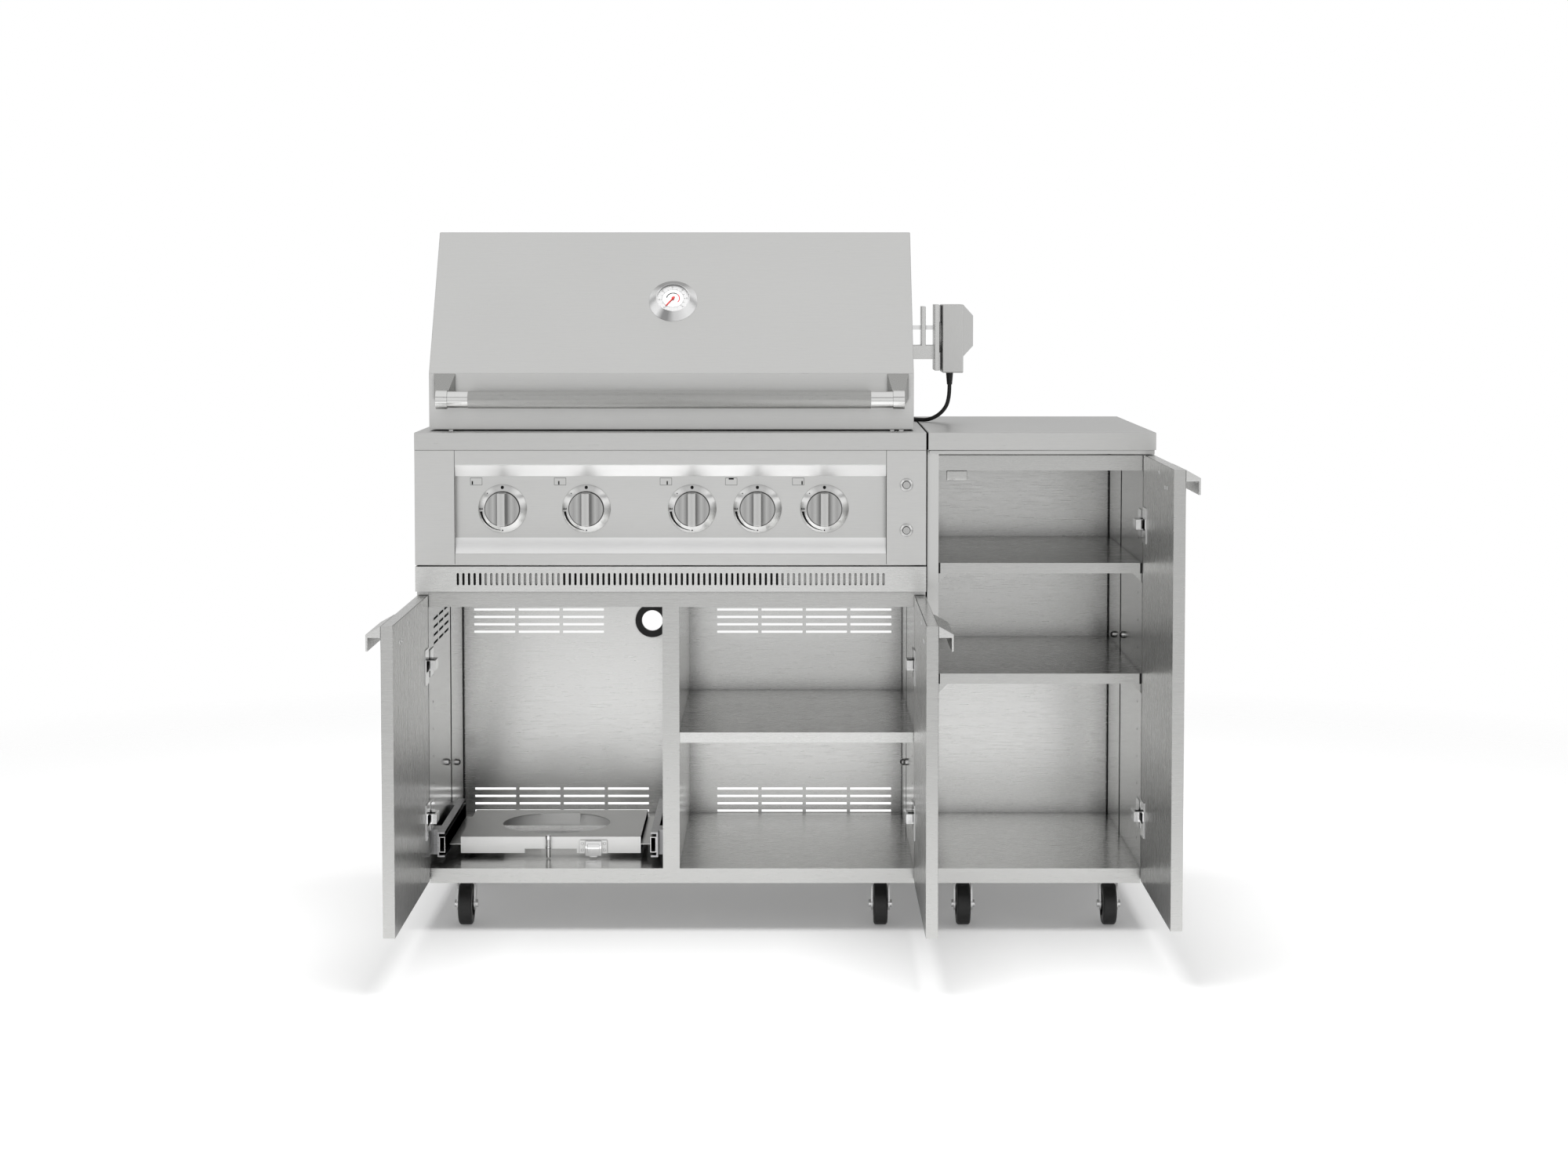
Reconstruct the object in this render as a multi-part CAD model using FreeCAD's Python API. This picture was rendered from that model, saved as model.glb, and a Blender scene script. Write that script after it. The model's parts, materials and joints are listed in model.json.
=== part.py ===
import FreeCAD, Part
import os
from math import atan2, cos, degrees, pi, radians, sin, sqrt, tan
from FreeCAD import Placement, Rotation, Vector

# A two-cabinet barbecue island: a gas grill cabinet with a hood and a narrower side cabinet with a worktop.
# Sizes are millimetres. X runs along the island, Y from its front to its back, Z up from the floor.
# The pieces are laid out with Y = 0 at the front edges of the cabinet walls. At rest the doors stand open.

# Cabinets
GRILL_WIDTH = 907.0
SIDE_WIDTH = 403.5
CABINET_GAP = 3.0
CABINET_DEPTH = 545.0
WALL = 20.0
SHEET = 1.0
SKIRT_BOTTOM = 89.0
FLOOR_TOP = 115.5
BACK_INSET = 6.0
DIVIDER_OFFSET = 437.5
DIVIDER_WIDTH = 30.0
RAIL_DEPTH = 25.0
GRILL_RAIL_BOTTOM = 587.0
GRILL_RAIL_HEIGHT = 30.0
SIDE_RAIL_BOTTOM = 831.0
SIDE_RAIL_HEIGHT = 27.0
GRILL_SHELF_TOP = 361.0
SIDE_SHELF_TOPS = (467.0, 665.5)
SHELF_LIP = 18.5
SHELF_SETBACK = 2.0
GUSSET = 17.0

# Vent slots in the sheet
VENT_SLOT_HEIGHT = 4.6
VENT_ROW_PITCH = 14.7
VENT_ROWS = 4
BACK_SLOT_LENGTH = 81.0
BACK_SLOT_PITCH = 87.7
BACK_SLOT_COLUMNS = 4
GROMMET_SLOT_COLUMNS = 3
LEFT_BAY_SLOTS_OFFSET = 41.7
RIGHT_BAY_SLOTS_OFFSET = 521.6
BACK_TOP_ROW = 520.0
BACK_BOTTOM_ROW = 163.4
WALL_SLOT_LENGTH = 65.0
WALL_SLOT_PITCH = 80.0
WALL_SLOT_COLUMNS = 3
WALL_SLOTS_START = 73.0
WALL_TOP_ROW = 556.0

# Hose grommet in the grill's back
GROMMET_OFFSET = 393.7
GROMMET_HEIGHT = 498.5
GROMMET_BORE_RADIUS = 20.5
GROMMET_RADIUS = 33.0
GROMMET_GROOVE_RADIUS = 26.0
GROMMET_FLANGE = 4.0

# Worktops
WORKTOP_TOP = 900.0
WORKTOP_EDGE = 31.0
WORKTOP_SHEET = 1.5
FRONT_OVERHANG = 26.0
REAR_OVERHANG = 30.0
LIP_HEIGHT = 7.0
LIP_INSET = 2.5

# Front panels
PANEL_FRONT = 24.0
PANEL_SHEET = 1.5
CHEEK = 70.8
VENT_BOTTOM = 617.0
VENT_HEIGHT = 44.5
PANEL_GAP = 2.5
RECESS_DEPTH = 15.0
TOP_STRIP = 26.5
TOP_BEVEL = 21.0
BOTTOM_STRIP = 20.0
BOTTOM_BEVEL = 28.0
SLOT_WIDTH = 4.2
SLOT_HEIGHT = 22.0
SLOT_PITCH = 9.94
SLOT_COUNT = 77

# Knobs, bezels and buttons
KNOB_OFFSETS = (154.5, 303.5, 491.5, 607.5, 726.5)
KNOB_DROP = 3.25
KNOB_RADIUS = 30.0
KNOB_DISC = 8.0
KNOB_GRIP_WIDTH = 14.0
KNOB_GRIP_LENGTH = 58.0
KNOB_GRIP_DEPTH = 22.0
KNOB_STANDOFF = 4.0
STEM_RADIUS = 4.0
STEM_LENGTH = 30.0
BEZEL_RADIUS = 43.0
BEZEL_HEIGHT = 7.0
BEZEL_EDGE = 1.5
BEZEL_GAP = 1.5
BUTTON_SPACING = 80.6
BUTTON_RADIUS = 6.25
BUTTON_RIM_RADIUS = 11.15
BUTTON_BARREL_RADIUS = 9.0
BUTTON_RIM = 2.5
BUTTON_PROUD = 3.5
BUTTON_LENGTH = 16.0
BARREL_LENGTH = 18.0

# Running fits and clearances
FIT = 0.05
CLEAR = 0.4

# Doors and their hinges
DOOR_THICKNESS = 20.0
DOOR_GAP = 3.2
DOOR_SHEET = 1.0
DOOR_BOTTOM = 95.0
GRILL_DOOR_TOP = 608.0
SIDE_DOOR_TOP = 859.0
DOOR_MEETING_GAP = 3.0
PIVOT_INSET = 8.0
PIVOT_DEPTH = 12.0
GRILL_HINGE_HEIGHTS = (208.0, 484.0)
SIDE_HINGE_HEIGHTS = (212.0, 736.0)
HINGE_PIN_RADIUS = 3.0
HINGE_PIN_HALF = 19.0
ARM_HALF_HEIGHT = 9.0
ARM_HALF_WIDTH = 3.0
ARM_TIP_RADIUS = 5.0
ARM_LEG = 3.5
ARM_CRANK = 14.0
ARM_PLATE = 2.0
ARM_PLATE_START = 6.0
ARM_PLATE_LENGTH = 46.0
ARM_PLATE_HALF_HEIGHT = 24.0
CUP_CLEAR = 4.0
CUP_HALF_HEIGHT = 20.0
CUP_FLANGE = 1.8
CUP_FLANGE_START = 6.0
CUP_FLANGE_RIM = 12.0
CUP_FLANGE_HALF_HEIGHT = 31.5
CUP_EDGE = 2.5
EDGE_HANDLE_LENGTH = 170.0
EDGE_HANDLE_REACH = 24.3
EDGE_HANDLE_DROP = 13.6
EDGE_HANDLE_UNDERSIDE = 18.8
EDGE_HANDLE_LIP = 27.8
EDGE_HANDLE_LIP_THICKNESS = 3.3

# Gas bottle tray and its slides
SLIDE_SPACER = 10.0
SLIDE_THICKNESS = 13.0
SLIDE_HEIGHT = 45.0
SLIDE_BOTTOM = 131.0
SLIDE_START = 25.0
SLIDE_LENGTH = 335.0
SLIDE_SHEET = 1.2
SLIDE_BAR_HEIGHT = 28.0
SPACER_LENGTH = 40.0
SPACER_INSET = 25.0
TRAY_INSET = 21.5
TRAY_START = 91.0
TRAY_DEPTH = 265.0
TRAY_TOP = 155.0
TRAY_LIP = 30.0
TRAY_HOLE_RADIUS = 100.0
TRAY_HOLE_OFFSET = 134.0
TRAY_NOTCH_WIDTH = 95.0
TRAY_NOTCH_HEIGHT = 8.0
TRAY_TAB_WIDTH = 75.0
TRAY_TAB_HEIGHT = 20.0
TRAY_WING_DROP = 13.0
LATCH_OFFSET = 53.0
LATCH_WIDTH = 50.0
LATCH_HEIGHT = 24.0
LATCH_THICKNESS = 3.0
LATCH_PIN_OFFSET = 28.0
LATCH_PIN_RADIUS = 4.0
LATCH_PIN_LENGTH = 40.0

# Castors
WHEEL_RADIUS = 38.0
WHEEL_WIDTH = 25.0
WHEEL_ROUND = 5.0
HUB_RADIUS = 22.0
HUB_RECESS = 4.0
AXLE_RADIUS = 4.0
AXLE_HEAD_RADIUS = 7.0
AXLE_HEAD = 4.0
FORK_SHEET = 3.0
FORK_CLEAR = 1.5
FORK_CROWN = 4.0
FORK_LEG_RADIUS = 12.0
FORK_FRONT = 24.0
FORK_REAR = 18.0
CASTER_PLATE = 70.0
CASTER_PLATE_SHEET = 3.0
CASTER_RACE = 5.0
CASTER_RACE_RADIUS = 20.0
KINGPIN_RADIUS = 6.0
KINGPIN_HEAD_RADIUS = 9.0
KINGPIN_HEAD = 3.0
CASTER_TRAIL = 30.0
CASTER_SETBACK = 95.0
GRILL_CASTER_INSET = 77.5
SIDE_CASTER_INSET = 69.5

# Firebox and what it holds
FIREBOX_INSET = 57.5
FIREBOX_FRONT = 70.0
FIREBOX_DEPTH = 420.0
FIREBOX_HEIGHT = 180.0
FIREBOX_SHEET = 1.5
FIREBOX_FLANGE = 12.0
FIREBOX_DRAIN_MARGIN = 60.0
BURNER_COUNT = 4
BURNER_RADIUS = 12.0
BURNER_BORE_RADIUS = 10.5
BURNER_HEIGHT = 790.0
MANIFOLD_RADIUS = 10.0
MANIFOLD_SETBACK = 30.0
MANIFOLD_MARGIN = 30.0
JET_RADIUS = 6.0
JET_LENGTH = 11.0
VALVE_WIDTH = 24.0
VALVE_DEPTH = 42.0
VALVE_RISE = 14.0
REAR_BURNER_MARGIN = 100.0
REAR_BURNER_HEIGHT = 90.0
REAR_BURNER_DEPTH = 18.0
TAMER_HEIGHT = 822.0
TAMER_RISE = 26.0
TAMER_WIDTH = 110.0
TAMER_SHEET = 1.5
GRATE_COUNT = 3
GRATE_TOP = 892.0
GRATE_BAR = 9.0
GRATE_BAR_PITCH = 19.0
GRATE_CROSS_BAR = 12.0
GRATE_GAP = 2.0
GRATE_CROSS_SHARES = (0.1, 0.5, 0.9)
DRIP_INSET = 40.0
DRIP_HEIGHT = 26.0
DRIP_DROP = 8.0
DRIP_SHEET = 1.0
DRIP_REAR = 18.0
DRIP_FRONT_GAP = 12.0
RUNNER = 12.0
RUNNER_SHEET = 1.5

# Hood
HOOD_SIDE_INSET = 20.5
HOOD_FRONT = 26.0
HOOD_CLEARANCE = 3.0
HOOD_FOLD_HEIGHT = 1003.0
HOOD_TOP = 1257.0
HOOD_TOP_FRONT = 202.0
HOOD_TOP_REAR = 400.0
HOOD_BACK = 540.0
HOOD_BACK_FOLD = 1090.0
HOOD_REAR_RISE = 15.0
HOOD_SHEET = 1.5
HOOD_AXIS_FROM_BACK = 20.0
HOOD_AXIS_RISE = 30.0
HOOD_PIN_RADIUS = 5.0
HOOD_EAR = 4.0
HOOD_EAR_CLEAR = 1.0
HOOD_EAR_REACH = 45.0
HOOD_EAR_FOOT = 23.0
HOOD_EAR_HALF_HEIGHT = 10.0
HOOD_EAR_TIP = 8.0
SPIT_SLOT_WIDTH = 18.0
HANDLE_RADIUS = 15.0
HANDLE_TUBE = 1.5
HANDLE_CAP_RADIUS = 17.0
HANDLE_CAP = 20.0
HANDLE_END_INSET = 18.5
HANDLE_STANDOFF = 45.0
HANDLE_RISE = 55.0
HANDLE_FOOT_WIDTH = 38.0
HANDLE_FOOT_HEIGHT = 46.0
HANDLE_NECK_WIDTH = 20.0
HANDLE_NECK_HEIGHT = 22.0
DIAL_OFFSET = 453.5
DIAL_ALONG_SLANT = 0.504
DIAL_RADIUS = 44.0
DIAL_RIM_RADIUS = 30.5
DIAL_FACE_RADIUS = 29.0
DIAL_THICKNESS = 12.0
DIAL_FACE_DEPTH = 3.5
DIAL_STEM_RADIUS = 4.0
DIAL_STEM_LENGTH = 60.0
NEEDLE_PIN_RADIUS = 1.5
NEEDLE_PIN_LENGTH = 4.0
NEEDLE_HUB_RADIUS = 2.6
NEEDLE_LENGTH = 20.5
NEEDLE_TAIL = 4.5
NEEDLE_WIDTH = 2.0
NEEDLE_THICKNESS = 1.2
NEEDLE_ANGLE = 232.0

# Rotisserie
SPIT_DEPTH = 320.0
SPIT_RISE = 180.0
SPIT_SQUARE = 8.0
SPIT_JOURNAL_RADIUS = 8.0
SPIT_TIP_RADIUS = 5.0
SPIT_TIP_LENGTH = 12.0
SPIT_IN_MOTOR = 14.0
FORK_HUB = 24.0
FORK_HUB_LENGTH = 20.0
FORK_PRONG_RADIUS = 2.5
FORK_PRONG_LENGTH = 90.0
FORK_PRONG_SPREAD = 9.0
FORK_FROM_MIDDLE = 160.0
SUPPORT_SHEET = 3.0
SUPPORT_WIDTH = 60.0
SUPPORT_HEAD = 16.0
BRACKET_GAP = 3.0
BRACKET_SHEET = 3.0
ARM_DROP = 59.0
ARM_HEIGHT = 26.0
REST_OFFSET = 26.0
REST_THICKNESS = 7.5
REST_RISE = 40.0
MOTOR_PLATE_OFFSET = 50.0
MOTOR_PLATE = 9.0
MOTOR_PLATE_DROP = 80.0
MOTOR_BOSS = 5.0
MOTOR_BOSS_RADIUS = 29.0
MOTOR_WIDTH = 39.0
MOTOR_DEPTH = 100.0
MOTOR_DROP = 84.0
MOTOR_RISE = 43.5
CAP_LENGTH = 20.0
CAP_BASE_DROP = 54.0
CAP_DROP = 34.0
CAP_RISE = 22.5
CAP_MARGIN = 9.0
CAP_TAPER = 21.0
MOTOR_SOCKET_RADIUS = 6.2
SWITCH_DROP = 69.0
SWITCH_RADIUS = 8.5
SWITCH_WIDTH = 12.0
SWITCH_DEPTH = 3.0
SWITCH_VALLEY = 2.4
SWITCH_PIN_RADIUS = 1.5
SWITCH_PIN_LENGTH = 2.0
SWITCH_TILT = 8.0
SWITCH_FACE_ANGLE = 58.0

# Mains lead of the motor
CORD_DIAMETER = 7.5
CORD_ARC_SHARE = 0.45
CORD_SAMPLE = 4.0
GLAND_RADIUS = 7.0
GLAND_TIP_RADIUS = 5.0
CORD_ROUTE = (
    (311.0, 340.0, 972.0), (311.0, 340.0, 942.0), (297.4, 343.5, 918.0), (274.0, 349.5, 904.0),
    (251.0, 365.5, 904.0), (241.0, 394.0, 904.0), (239.5, 440.0, 904.0), (241.5, 505.0, 904.0),
    (245.0, 556.0, 904.0), (247.0, 592.0, 904.0), (248.0, 618.0, 889.0), (249.0, 633.0, 863.0),
    (250.5, 637.0, 806.0), (253.0, 635.0, 702.0), (255.5, 629.0, 598.0), (257.5, 621.0, 494.0),
    (258.5, 612.0, 391.0), (258.5, 604.5, 289.0), (257.5, 598.5, 190.0), (256.0, 595.2, 118.0),
    (255.0, 594.0, 78.0), (254.5, 594.0, 52.5), (247.0, 594.0, 34.0), (233.0, 594.0, 20.0),
    (214.5, 594.0, 12.0), (194.5, 594.0, 12.0),
)
COIL_RADIUS = 38.0
COIL_TURN_PITCH = 8.5
COIL_LAYER_PITCH = 8.0
COIL_HALF_TURNS = 5
COIL_TAIL = 28.0
PLUG_LENGTH = 36.0
PLUG_WIDTH = 34.0
PLUG_HEIGHT = 20.0
PLUG_NECK = 14.0
PLUG_NECK_RADIUS = 6.0
PLUG_PIN_RADIUS = 2.4
PLUG_PIN_LENGTH = 19.0
PLUG_PIN_SPACING = 19.0

# Places worked out from the sizes
ISLAND_WIDTH = GRILL_WIDTH + CABINET_GAP + SIDE_WIDTH
GRILL_LEFT = -ISLAND_WIDTH / 2
GRILL_RIGHT = GRILL_LEFT + GRILL_WIDTH
SIDE_LEFT = GRILL_RIGHT + CABINET_GAP
SIDE_RIGHT = SIDE_LEFT + SIDE_WIDTH
GRILL_INSIDE = (GRILL_LEFT + WALL, GRILL_RIGHT - WALL)
SIDE_INSIDE = (SIDE_LEFT + WALL, SIDE_RIGHT - WALL)
DIVIDER = (GRILL_LEFT + DIVIDER_OFFSET, GRILL_LEFT + DIVIDER_OFFSET + DIVIDER_WIDTH)
BACK = CABINET_DEPTH - BACK_INSET - SHEET
DECK_BOTTOM = WORKTOP_TOP - WORKTOP_EDGE
WORKTOP_BACK = CABINET_DEPTH + REAR_OVERHANG
CONTROL_BOTTOM = VENT_BOTTOM + VENT_HEIGHT + PANEL_GAP
CONTROL_FACE = RECESS_DEPTH - PANEL_FRONT
FACE_BOTTOM = CONTROL_BOTTOM + BOTTOM_STRIP + BOTTOM_BEVEL
FACE_TOP = DECK_BOTTOM - TOP_STRIP - TOP_BEVEL
FACE_MIDDLE = (FACE_BOTTOM + FACE_TOP) / 2
KNOB_HEIGHT = FACE_MIDDLE - KNOB_DROP
BUTTON_HEIGHTS = (FACE_MIDDLE + BUTTON_SPACING / 2, FACE_MIDDLE - BUTTON_SPACING / 2)
RECESS = (GRILL_LEFT + CHEEK, GRILL_RIGHT - CHEEK)
KNOB_XS = [GRILL_LEFT + offset for offset in KNOB_OFFSETS]
BUTTON_X = GRILL_RIGHT - CHEEK / 2
GRILL_DOOR_WIDTH = (GRILL_WIDTH - DOOR_MEETING_GAP) / 2
SIDE_DOOR_WIDTH = SIDE_WIDTH - DOOR_MEETING_GAP
PIVOT_Y = -(DOOR_GAP + PIVOT_DEPTH)
DOOR_EDGE_Y = PIVOT_Y + PIVOT_INSET
FIREBOX_XS = (GRILL_LEFT + FIREBOX_INSET, GRILL_RIGHT - FIREBOX_INSET)
FIREBOX_YS = (FIREBOX_FRONT, FIREBOX_FRONT + FIREBOX_DEPTH)
FIREBOX_BOTTOM = WORKTOP_TOP - FIREBOX_HEIGHT
HOOD_XS = (GRILL_LEFT + HOOD_SIDE_INSET, GRILL_RIGHT - HOOD_SIDE_INSET)
HOOD_BOTTOM = WORKTOP_TOP + HOOD_CLEARANCE
HANDLE_HEIGHT = HOOD_BOTTOM + HANDLE_RISE
HOOD_AXIS_Y = HOOD_BACK - HOOD_AXIS_FROM_BACK
HOOD_AXIS_Z = WORKTOP_TOP + HOOD_AXIS_RISE
BAR_Y = HOOD_FRONT - HANDLE_STANDOFF
BRACKET_X = HOOD_XS[1] + BRACKET_GAP
SPIT_HEIGHT = WORKTOP_TOP + SPIT_RISE
ARM_BOTTOM = SPIT_HEIGHT - ARM_DROP
REST_TOP = SPIT_HEIGHT + REST_RISE
MOTOR_PLATE_BOTTOM = SPIT_HEIGHT - MOTOR_PLATE_DROP
MOTOR_BOTTOM = SPIT_HEIGHT - MOTOR_DROP
MOTOR_TOP = SPIT_HEIGHT + MOTOR_RISE
CAP_BASE_BOTTOM = SPIT_HEIGHT - CAP_BASE_DROP
CAP_BOTTOM = SPIT_HEIGHT - CAP_DROP
CAP_TOP = SPIT_HEIGHT + CAP_RISE
SWITCH_HEIGHT = SPIT_HEIGHT - SWITCH_DROP
MOTOR_PLATE_XS = (HOOD_XS[1] + MOTOR_PLATE_OFFSET, HOOD_XS[1] + MOTOR_PLATE_OFFSET + MOTOR_PLATE)
MOTOR_XS = (MOTOR_PLATE_XS[1] + MOTOR_BOSS, MOTOR_PLATE_XS[1] + MOTOR_BOSS + MOTOR_WIDTH)
MOTOR_YS = (SPIT_DEPTH - MOTOR_DEPTH / 2, SPIT_DEPTH + MOTOR_DEPTH / 2)
SWITCH_X = MOTOR_XS[1] - SWITCH_DEPTH
PLATE_BOTTOM = FLOOR_TOP - SHEET - CASTER_PLATE_SHEET
CROWN_TOP = PLATE_BOTTOM - CASTER_RACE - CLEAR
FRONT_CASTER_XS = (
    GRILL_LEFT + GRILL_CASTER_INSET, GRILL_RIGHT - GRILL_CASTER_INSET,
    SIDE_LEFT + SIDE_CASTER_INSET, SIDE_RIGHT - SIDE_CASTER_INSET,
)
REAR_CASTER_Y = CABINET_DEPTH - CASTER_SETBACK
CUP_NOTCH = WALL + ARM_CRANK + CUP_CLEAR
CUP_FLANGE_END = CUP_NOTCH + CUP_FLANGE_RIM
TRAY_XS = (
    GRILL_INSIDE[0] + SLIDE_SPACER + SLIDE_THICKNESS + TRAY_INSET,
    DIVIDER[0] - SLIDE_SPACER - SLIDE_THICKNESS - TRAY_INSET,
)
DRIP_XS = (FIREBOX_XS[0] + DRIP_INSET, FIREBOX_XS[1] - DRIP_INSET)
DRIP_TOP = FIREBOX_BOTTOM - DRIP_DROP
DRIP_BOTTOM = DRIP_TOP - DRIP_HEIGHT
SLANT_ANGLE = degrees(atan2(HOOD_TOP - HOOD_FOLD_HEIGHT, HOOD_TOP_FRONT - HOOD_FRONT))
DIAL_PLACE = Placement(
    Vector(
        GRILL_LEFT + DIAL_OFFSET,
        HOOD_FRONT + DIAL_ALONG_SLANT * (HOOD_TOP_FRONT - HOOD_FRONT),
        HOOD_FOLD_HEIGHT + DIAL_ALONG_SLANT * (HOOD_TOP - HOOD_FOLD_HEIGHT),
    ),
    Rotation(Vector(1, 0, 0), SLANT_ANGLE),
)

# The origin lies on the floor under the middle of the part, with its doors open.
REACH_FRONT = DOOR_EDGE_Y - GRILL_DOOR_WIDTH
FRAME = Vector(0, -(REACH_FRONT + WORKTOP_BACK) / 2, 0)


def box(xs, ys, zs):
    low = Vector(min(xs), min(ys), min(zs))
    return Part.makeBox(max(xs) - low.x, max(ys) - low.y, max(zs) - low.z, low)


def rod(start, end, radius):
    along = Vector(*end) - Vector(*start)
    return Part.makeCylinder(radius, along.Length, Vector(*start), along)


def rod_x(xs, y, z, radius):
    return rod((xs[0], y, z), (xs[1], y, z), radius)


def rod_y(x, ys, z, radius):
    return rod((x, ys[0], z), (x, ys[1], z), radius)


def rod_z(x, y, zs, radius):
    return rod((x, y, zs[0]), (x, y, zs[1]), radius)


def prism_x(outline, xs):
    corners = [Vector(min(xs), y, z) for y, z in outline]
    face = Part.Face(Part.makePolygon(corners + corners[:1]))
    return face.extrude(Vector(max(xs) - min(xs), 0, 0))


def prism_y(outline, ys):
    corners = [Vector(x, min(ys), z) for x, z in outline]
    face = Part.Face(Part.makePolygon(corners + corners[:1]))
    return face.extrude(Vector(0, max(ys) - min(ys), 0))


def turned(profile, origin, axis):
    corners = [origin + point for point in profile]
    face = Part.Face(Part.makePolygon(corners + corners[:1]))
    return face.revolve(origin, axis, 360)


def joined(*shapes):
    return shapes[0].multiFuse(list(shapes[1:])).removeSplitter()


def inset(outline, distance):
    """A convex outline, given anticlockwise, moved inwards by a distance."""
    moved = []
    count = len(outline)
    for index in range(count):
        before = Vector(*outline[index - 1], 0)
        here = Vector(*outline[index], 0)
        after = Vector(*outline[(index + 1) % count], 0)
        first = (here - before).normalize()
        second = (after - here).normalize()
        first_normal = Vector(-first.y, first.x, 0)
        second_normal = Vector(-second.y, second.x, 0)
        bisector = (first_normal + second_normal).normalize()
        point = here + bisector * (distance / bisector.dot(first_normal))
        moved.append((point.x, point.y))
    return moved


def pan(xs, ys, zs, sheet):
    """A folded sheet: a flat top with all four edges turned down."""
    inside_xs = (min(xs) + sheet, max(xs) - sheet)
    inside_ys = (min(ys) + sheet, max(ys) - sheet)
    inside = box(inside_xs, inside_ys, (min(zs) - sheet, max(zs) - sheet))
    return box(xs, ys, zs).cut(inside)


def upright(xs, ys, zs):
    """A folded sheet wall: a flat rectangular tube, open at its top and bottom."""
    inside_xs = (min(xs) + SHEET, max(xs) - SHEET)
    inside_ys = (min(ys) + SHEET, max(ys) - SHEET)
    inside = box(inside_xs, inside_ys, (min(zs) - SHEET, max(zs) + SHEET))
    return box(xs, ys, zs).cut(inside)


def rail(xs, ys, zs):
    """A folded sheet rail: a rectangular tube along X."""
    inside = box(xs, (min(ys) + SHEET, max(ys) - SHEET), (min(zs) + SHEET, max(zs) - SHEET))
    return box(xs, ys, zs).cut(inside)


# Floor panels, walls, backs and rails


def floor_panels():
    zs = (SKIRT_BOTTOM, FLOOR_TOP)
    return [pan(inside, (0, CABINET_DEPTH), zs, SHEET) for inside in (GRILL_INSIDE, SIDE_INSIDE)]


def grill_left_wall():
    wall = upright((GRILL_LEFT, GRILL_INSIDE[0]), (0, CABINET_DEPTH), (SKIRT_BOTTOM, DECK_BOTTOM))
    xs = (GRILL_LEFT - SHEET, GRILL_INSIDE[0] + SHEET)
    slots = []
    for row in range(VENT_ROWS):
        middle = WALL_TOP_ROW - row * VENT_ROW_PITCH
        zs = (middle - VENT_SLOT_HEIGHT / 2, middle + VENT_SLOT_HEIGHT / 2)
        for column in range(WALL_SLOT_COLUMNS):
            start = WALL_SLOTS_START + column * WALL_SLOT_PITCH
            slots.append(box(xs, (start, start + WALL_SLOT_LENGTH), zs))
    return wall.cut(slots)


def grill_right_wall():
    return upright((GRILL_INSIDE[1], GRILL_RIGHT), (0, CABINET_DEPTH), (SKIRT_BOTTOM, DECK_BOTTOM))


def side_walls():
    zs = (SKIRT_BOTTOM, DECK_BOTTOM)
    left = upright((SIDE_LEFT, SIDE_INSIDE[0]), (0, CABINET_DEPTH), zs)
    right = upright((SIDE_INSIDE[1], SIDE_RIGHT), (0, CABINET_DEPTH), zs)
    return [left, right]


def back_slots(first_x, columns, top_row):
    slots = []
    for row in range(VENT_ROWS):
        middle = top_row - row * VENT_ROW_PITCH
        zs = (middle - VENT_SLOT_HEIGHT / 2, middle + VENT_SLOT_HEIGHT / 2)
        for column in range(columns):
            start = first_x + column * BACK_SLOT_PITCH
            slots.append(box((start, start + BACK_SLOT_LENGTH), (BACK - SHEET, BACK + 2 * SHEET), zs))
    return slots


def grill_back_panel():
    """A slotted lower sheet and a plain upper one, with a gap between them for the drip tray."""
    ys = (BACK, BACK + SHEET)
    lower = box(GRILL_INSIDE, ys, (FLOOR_TOP, DRIP_BOTTOM - RUNNER_SHEET - 2 * CLEAR))
    upper = box(GRILL_INSIDE, ys, (DRIP_TOP + 2 * CLEAR, DECK_BOTTOM))
    left_x = GRILL_LEFT + LEFT_BAY_SLOTS_OFFSET
    right_x = GRILL_LEFT + RIGHT_BAY_SLOTS_OFFSET
    cuts = back_slots(left_x, GROMMET_SLOT_COLUMNS, BACK_TOP_ROW)
    cuts += back_slots(left_x, BACK_SLOT_COLUMNS, BACK_BOTTOM_ROW)
    for top_row in (BACK_TOP_ROW, BACK_BOTTOM_ROW):
        cuts += back_slots(right_x, BACK_SLOT_COLUMNS, top_row)
    grommet_x = GRILL_LEFT + GROMMET_OFFSET
    through = (BACK - SHEET, BACK + 2 * SHEET)
    cuts.append(rod_y(grommet_x, through, GROMMET_HEIGHT, GROMMET_GROOVE_RADIUS))
    return [lower.cut(cuts), upper]


def side_back_panel():
    return box(SIDE_INSIDE, (BACK, BACK + SHEET), (FLOOR_TOP, DECK_BOTTOM))


def hose_grommet():
    ys = (BACK - GROMMET_FLANGE, BACK + SHEET + GROMMET_FLANGE)
    grommet_x = GRILL_LEFT + GROMMET_OFFSET
    ring = rod_y(grommet_x, ys, GROMMET_HEIGHT, GROMMET_RADIUS)
    groove = rod_y(grommet_x, (BACK, BACK + SHEET), GROMMET_HEIGHT, GROMMET_RADIUS + GROMMET_FLANGE)
    neck = rod_y(grommet_x, (BACK, BACK + SHEET), GROMMET_HEIGHT, GROMMET_GROOVE_RADIUS)
    bore = rod_y(grommet_x, ys, GROMMET_HEIGHT, GROMMET_BORE_RADIUS)
    return ring.cut(groove.cut(neck)).cut(bore)


def divider_panel():
    return upright(DIVIDER, (0, BACK), (FLOOR_TOP, GRILL_RAIL_BOTTOM))


def header_rails():
    ys = (0, RAIL_DEPTH)
    grill_zs = (GRILL_RAIL_BOTTOM, GRILL_RAIL_BOTTOM + GRILL_RAIL_HEIGHT)
    side_zs = (SIDE_RAIL_BOTTOM, SIDE_RAIL_BOTTOM + SIDE_RAIL_HEIGHT)
    return [rail(GRILL_INSIDE, ys, grill_zs), rail(SIDE_INSIDE, ys, side_zs)]


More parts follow.
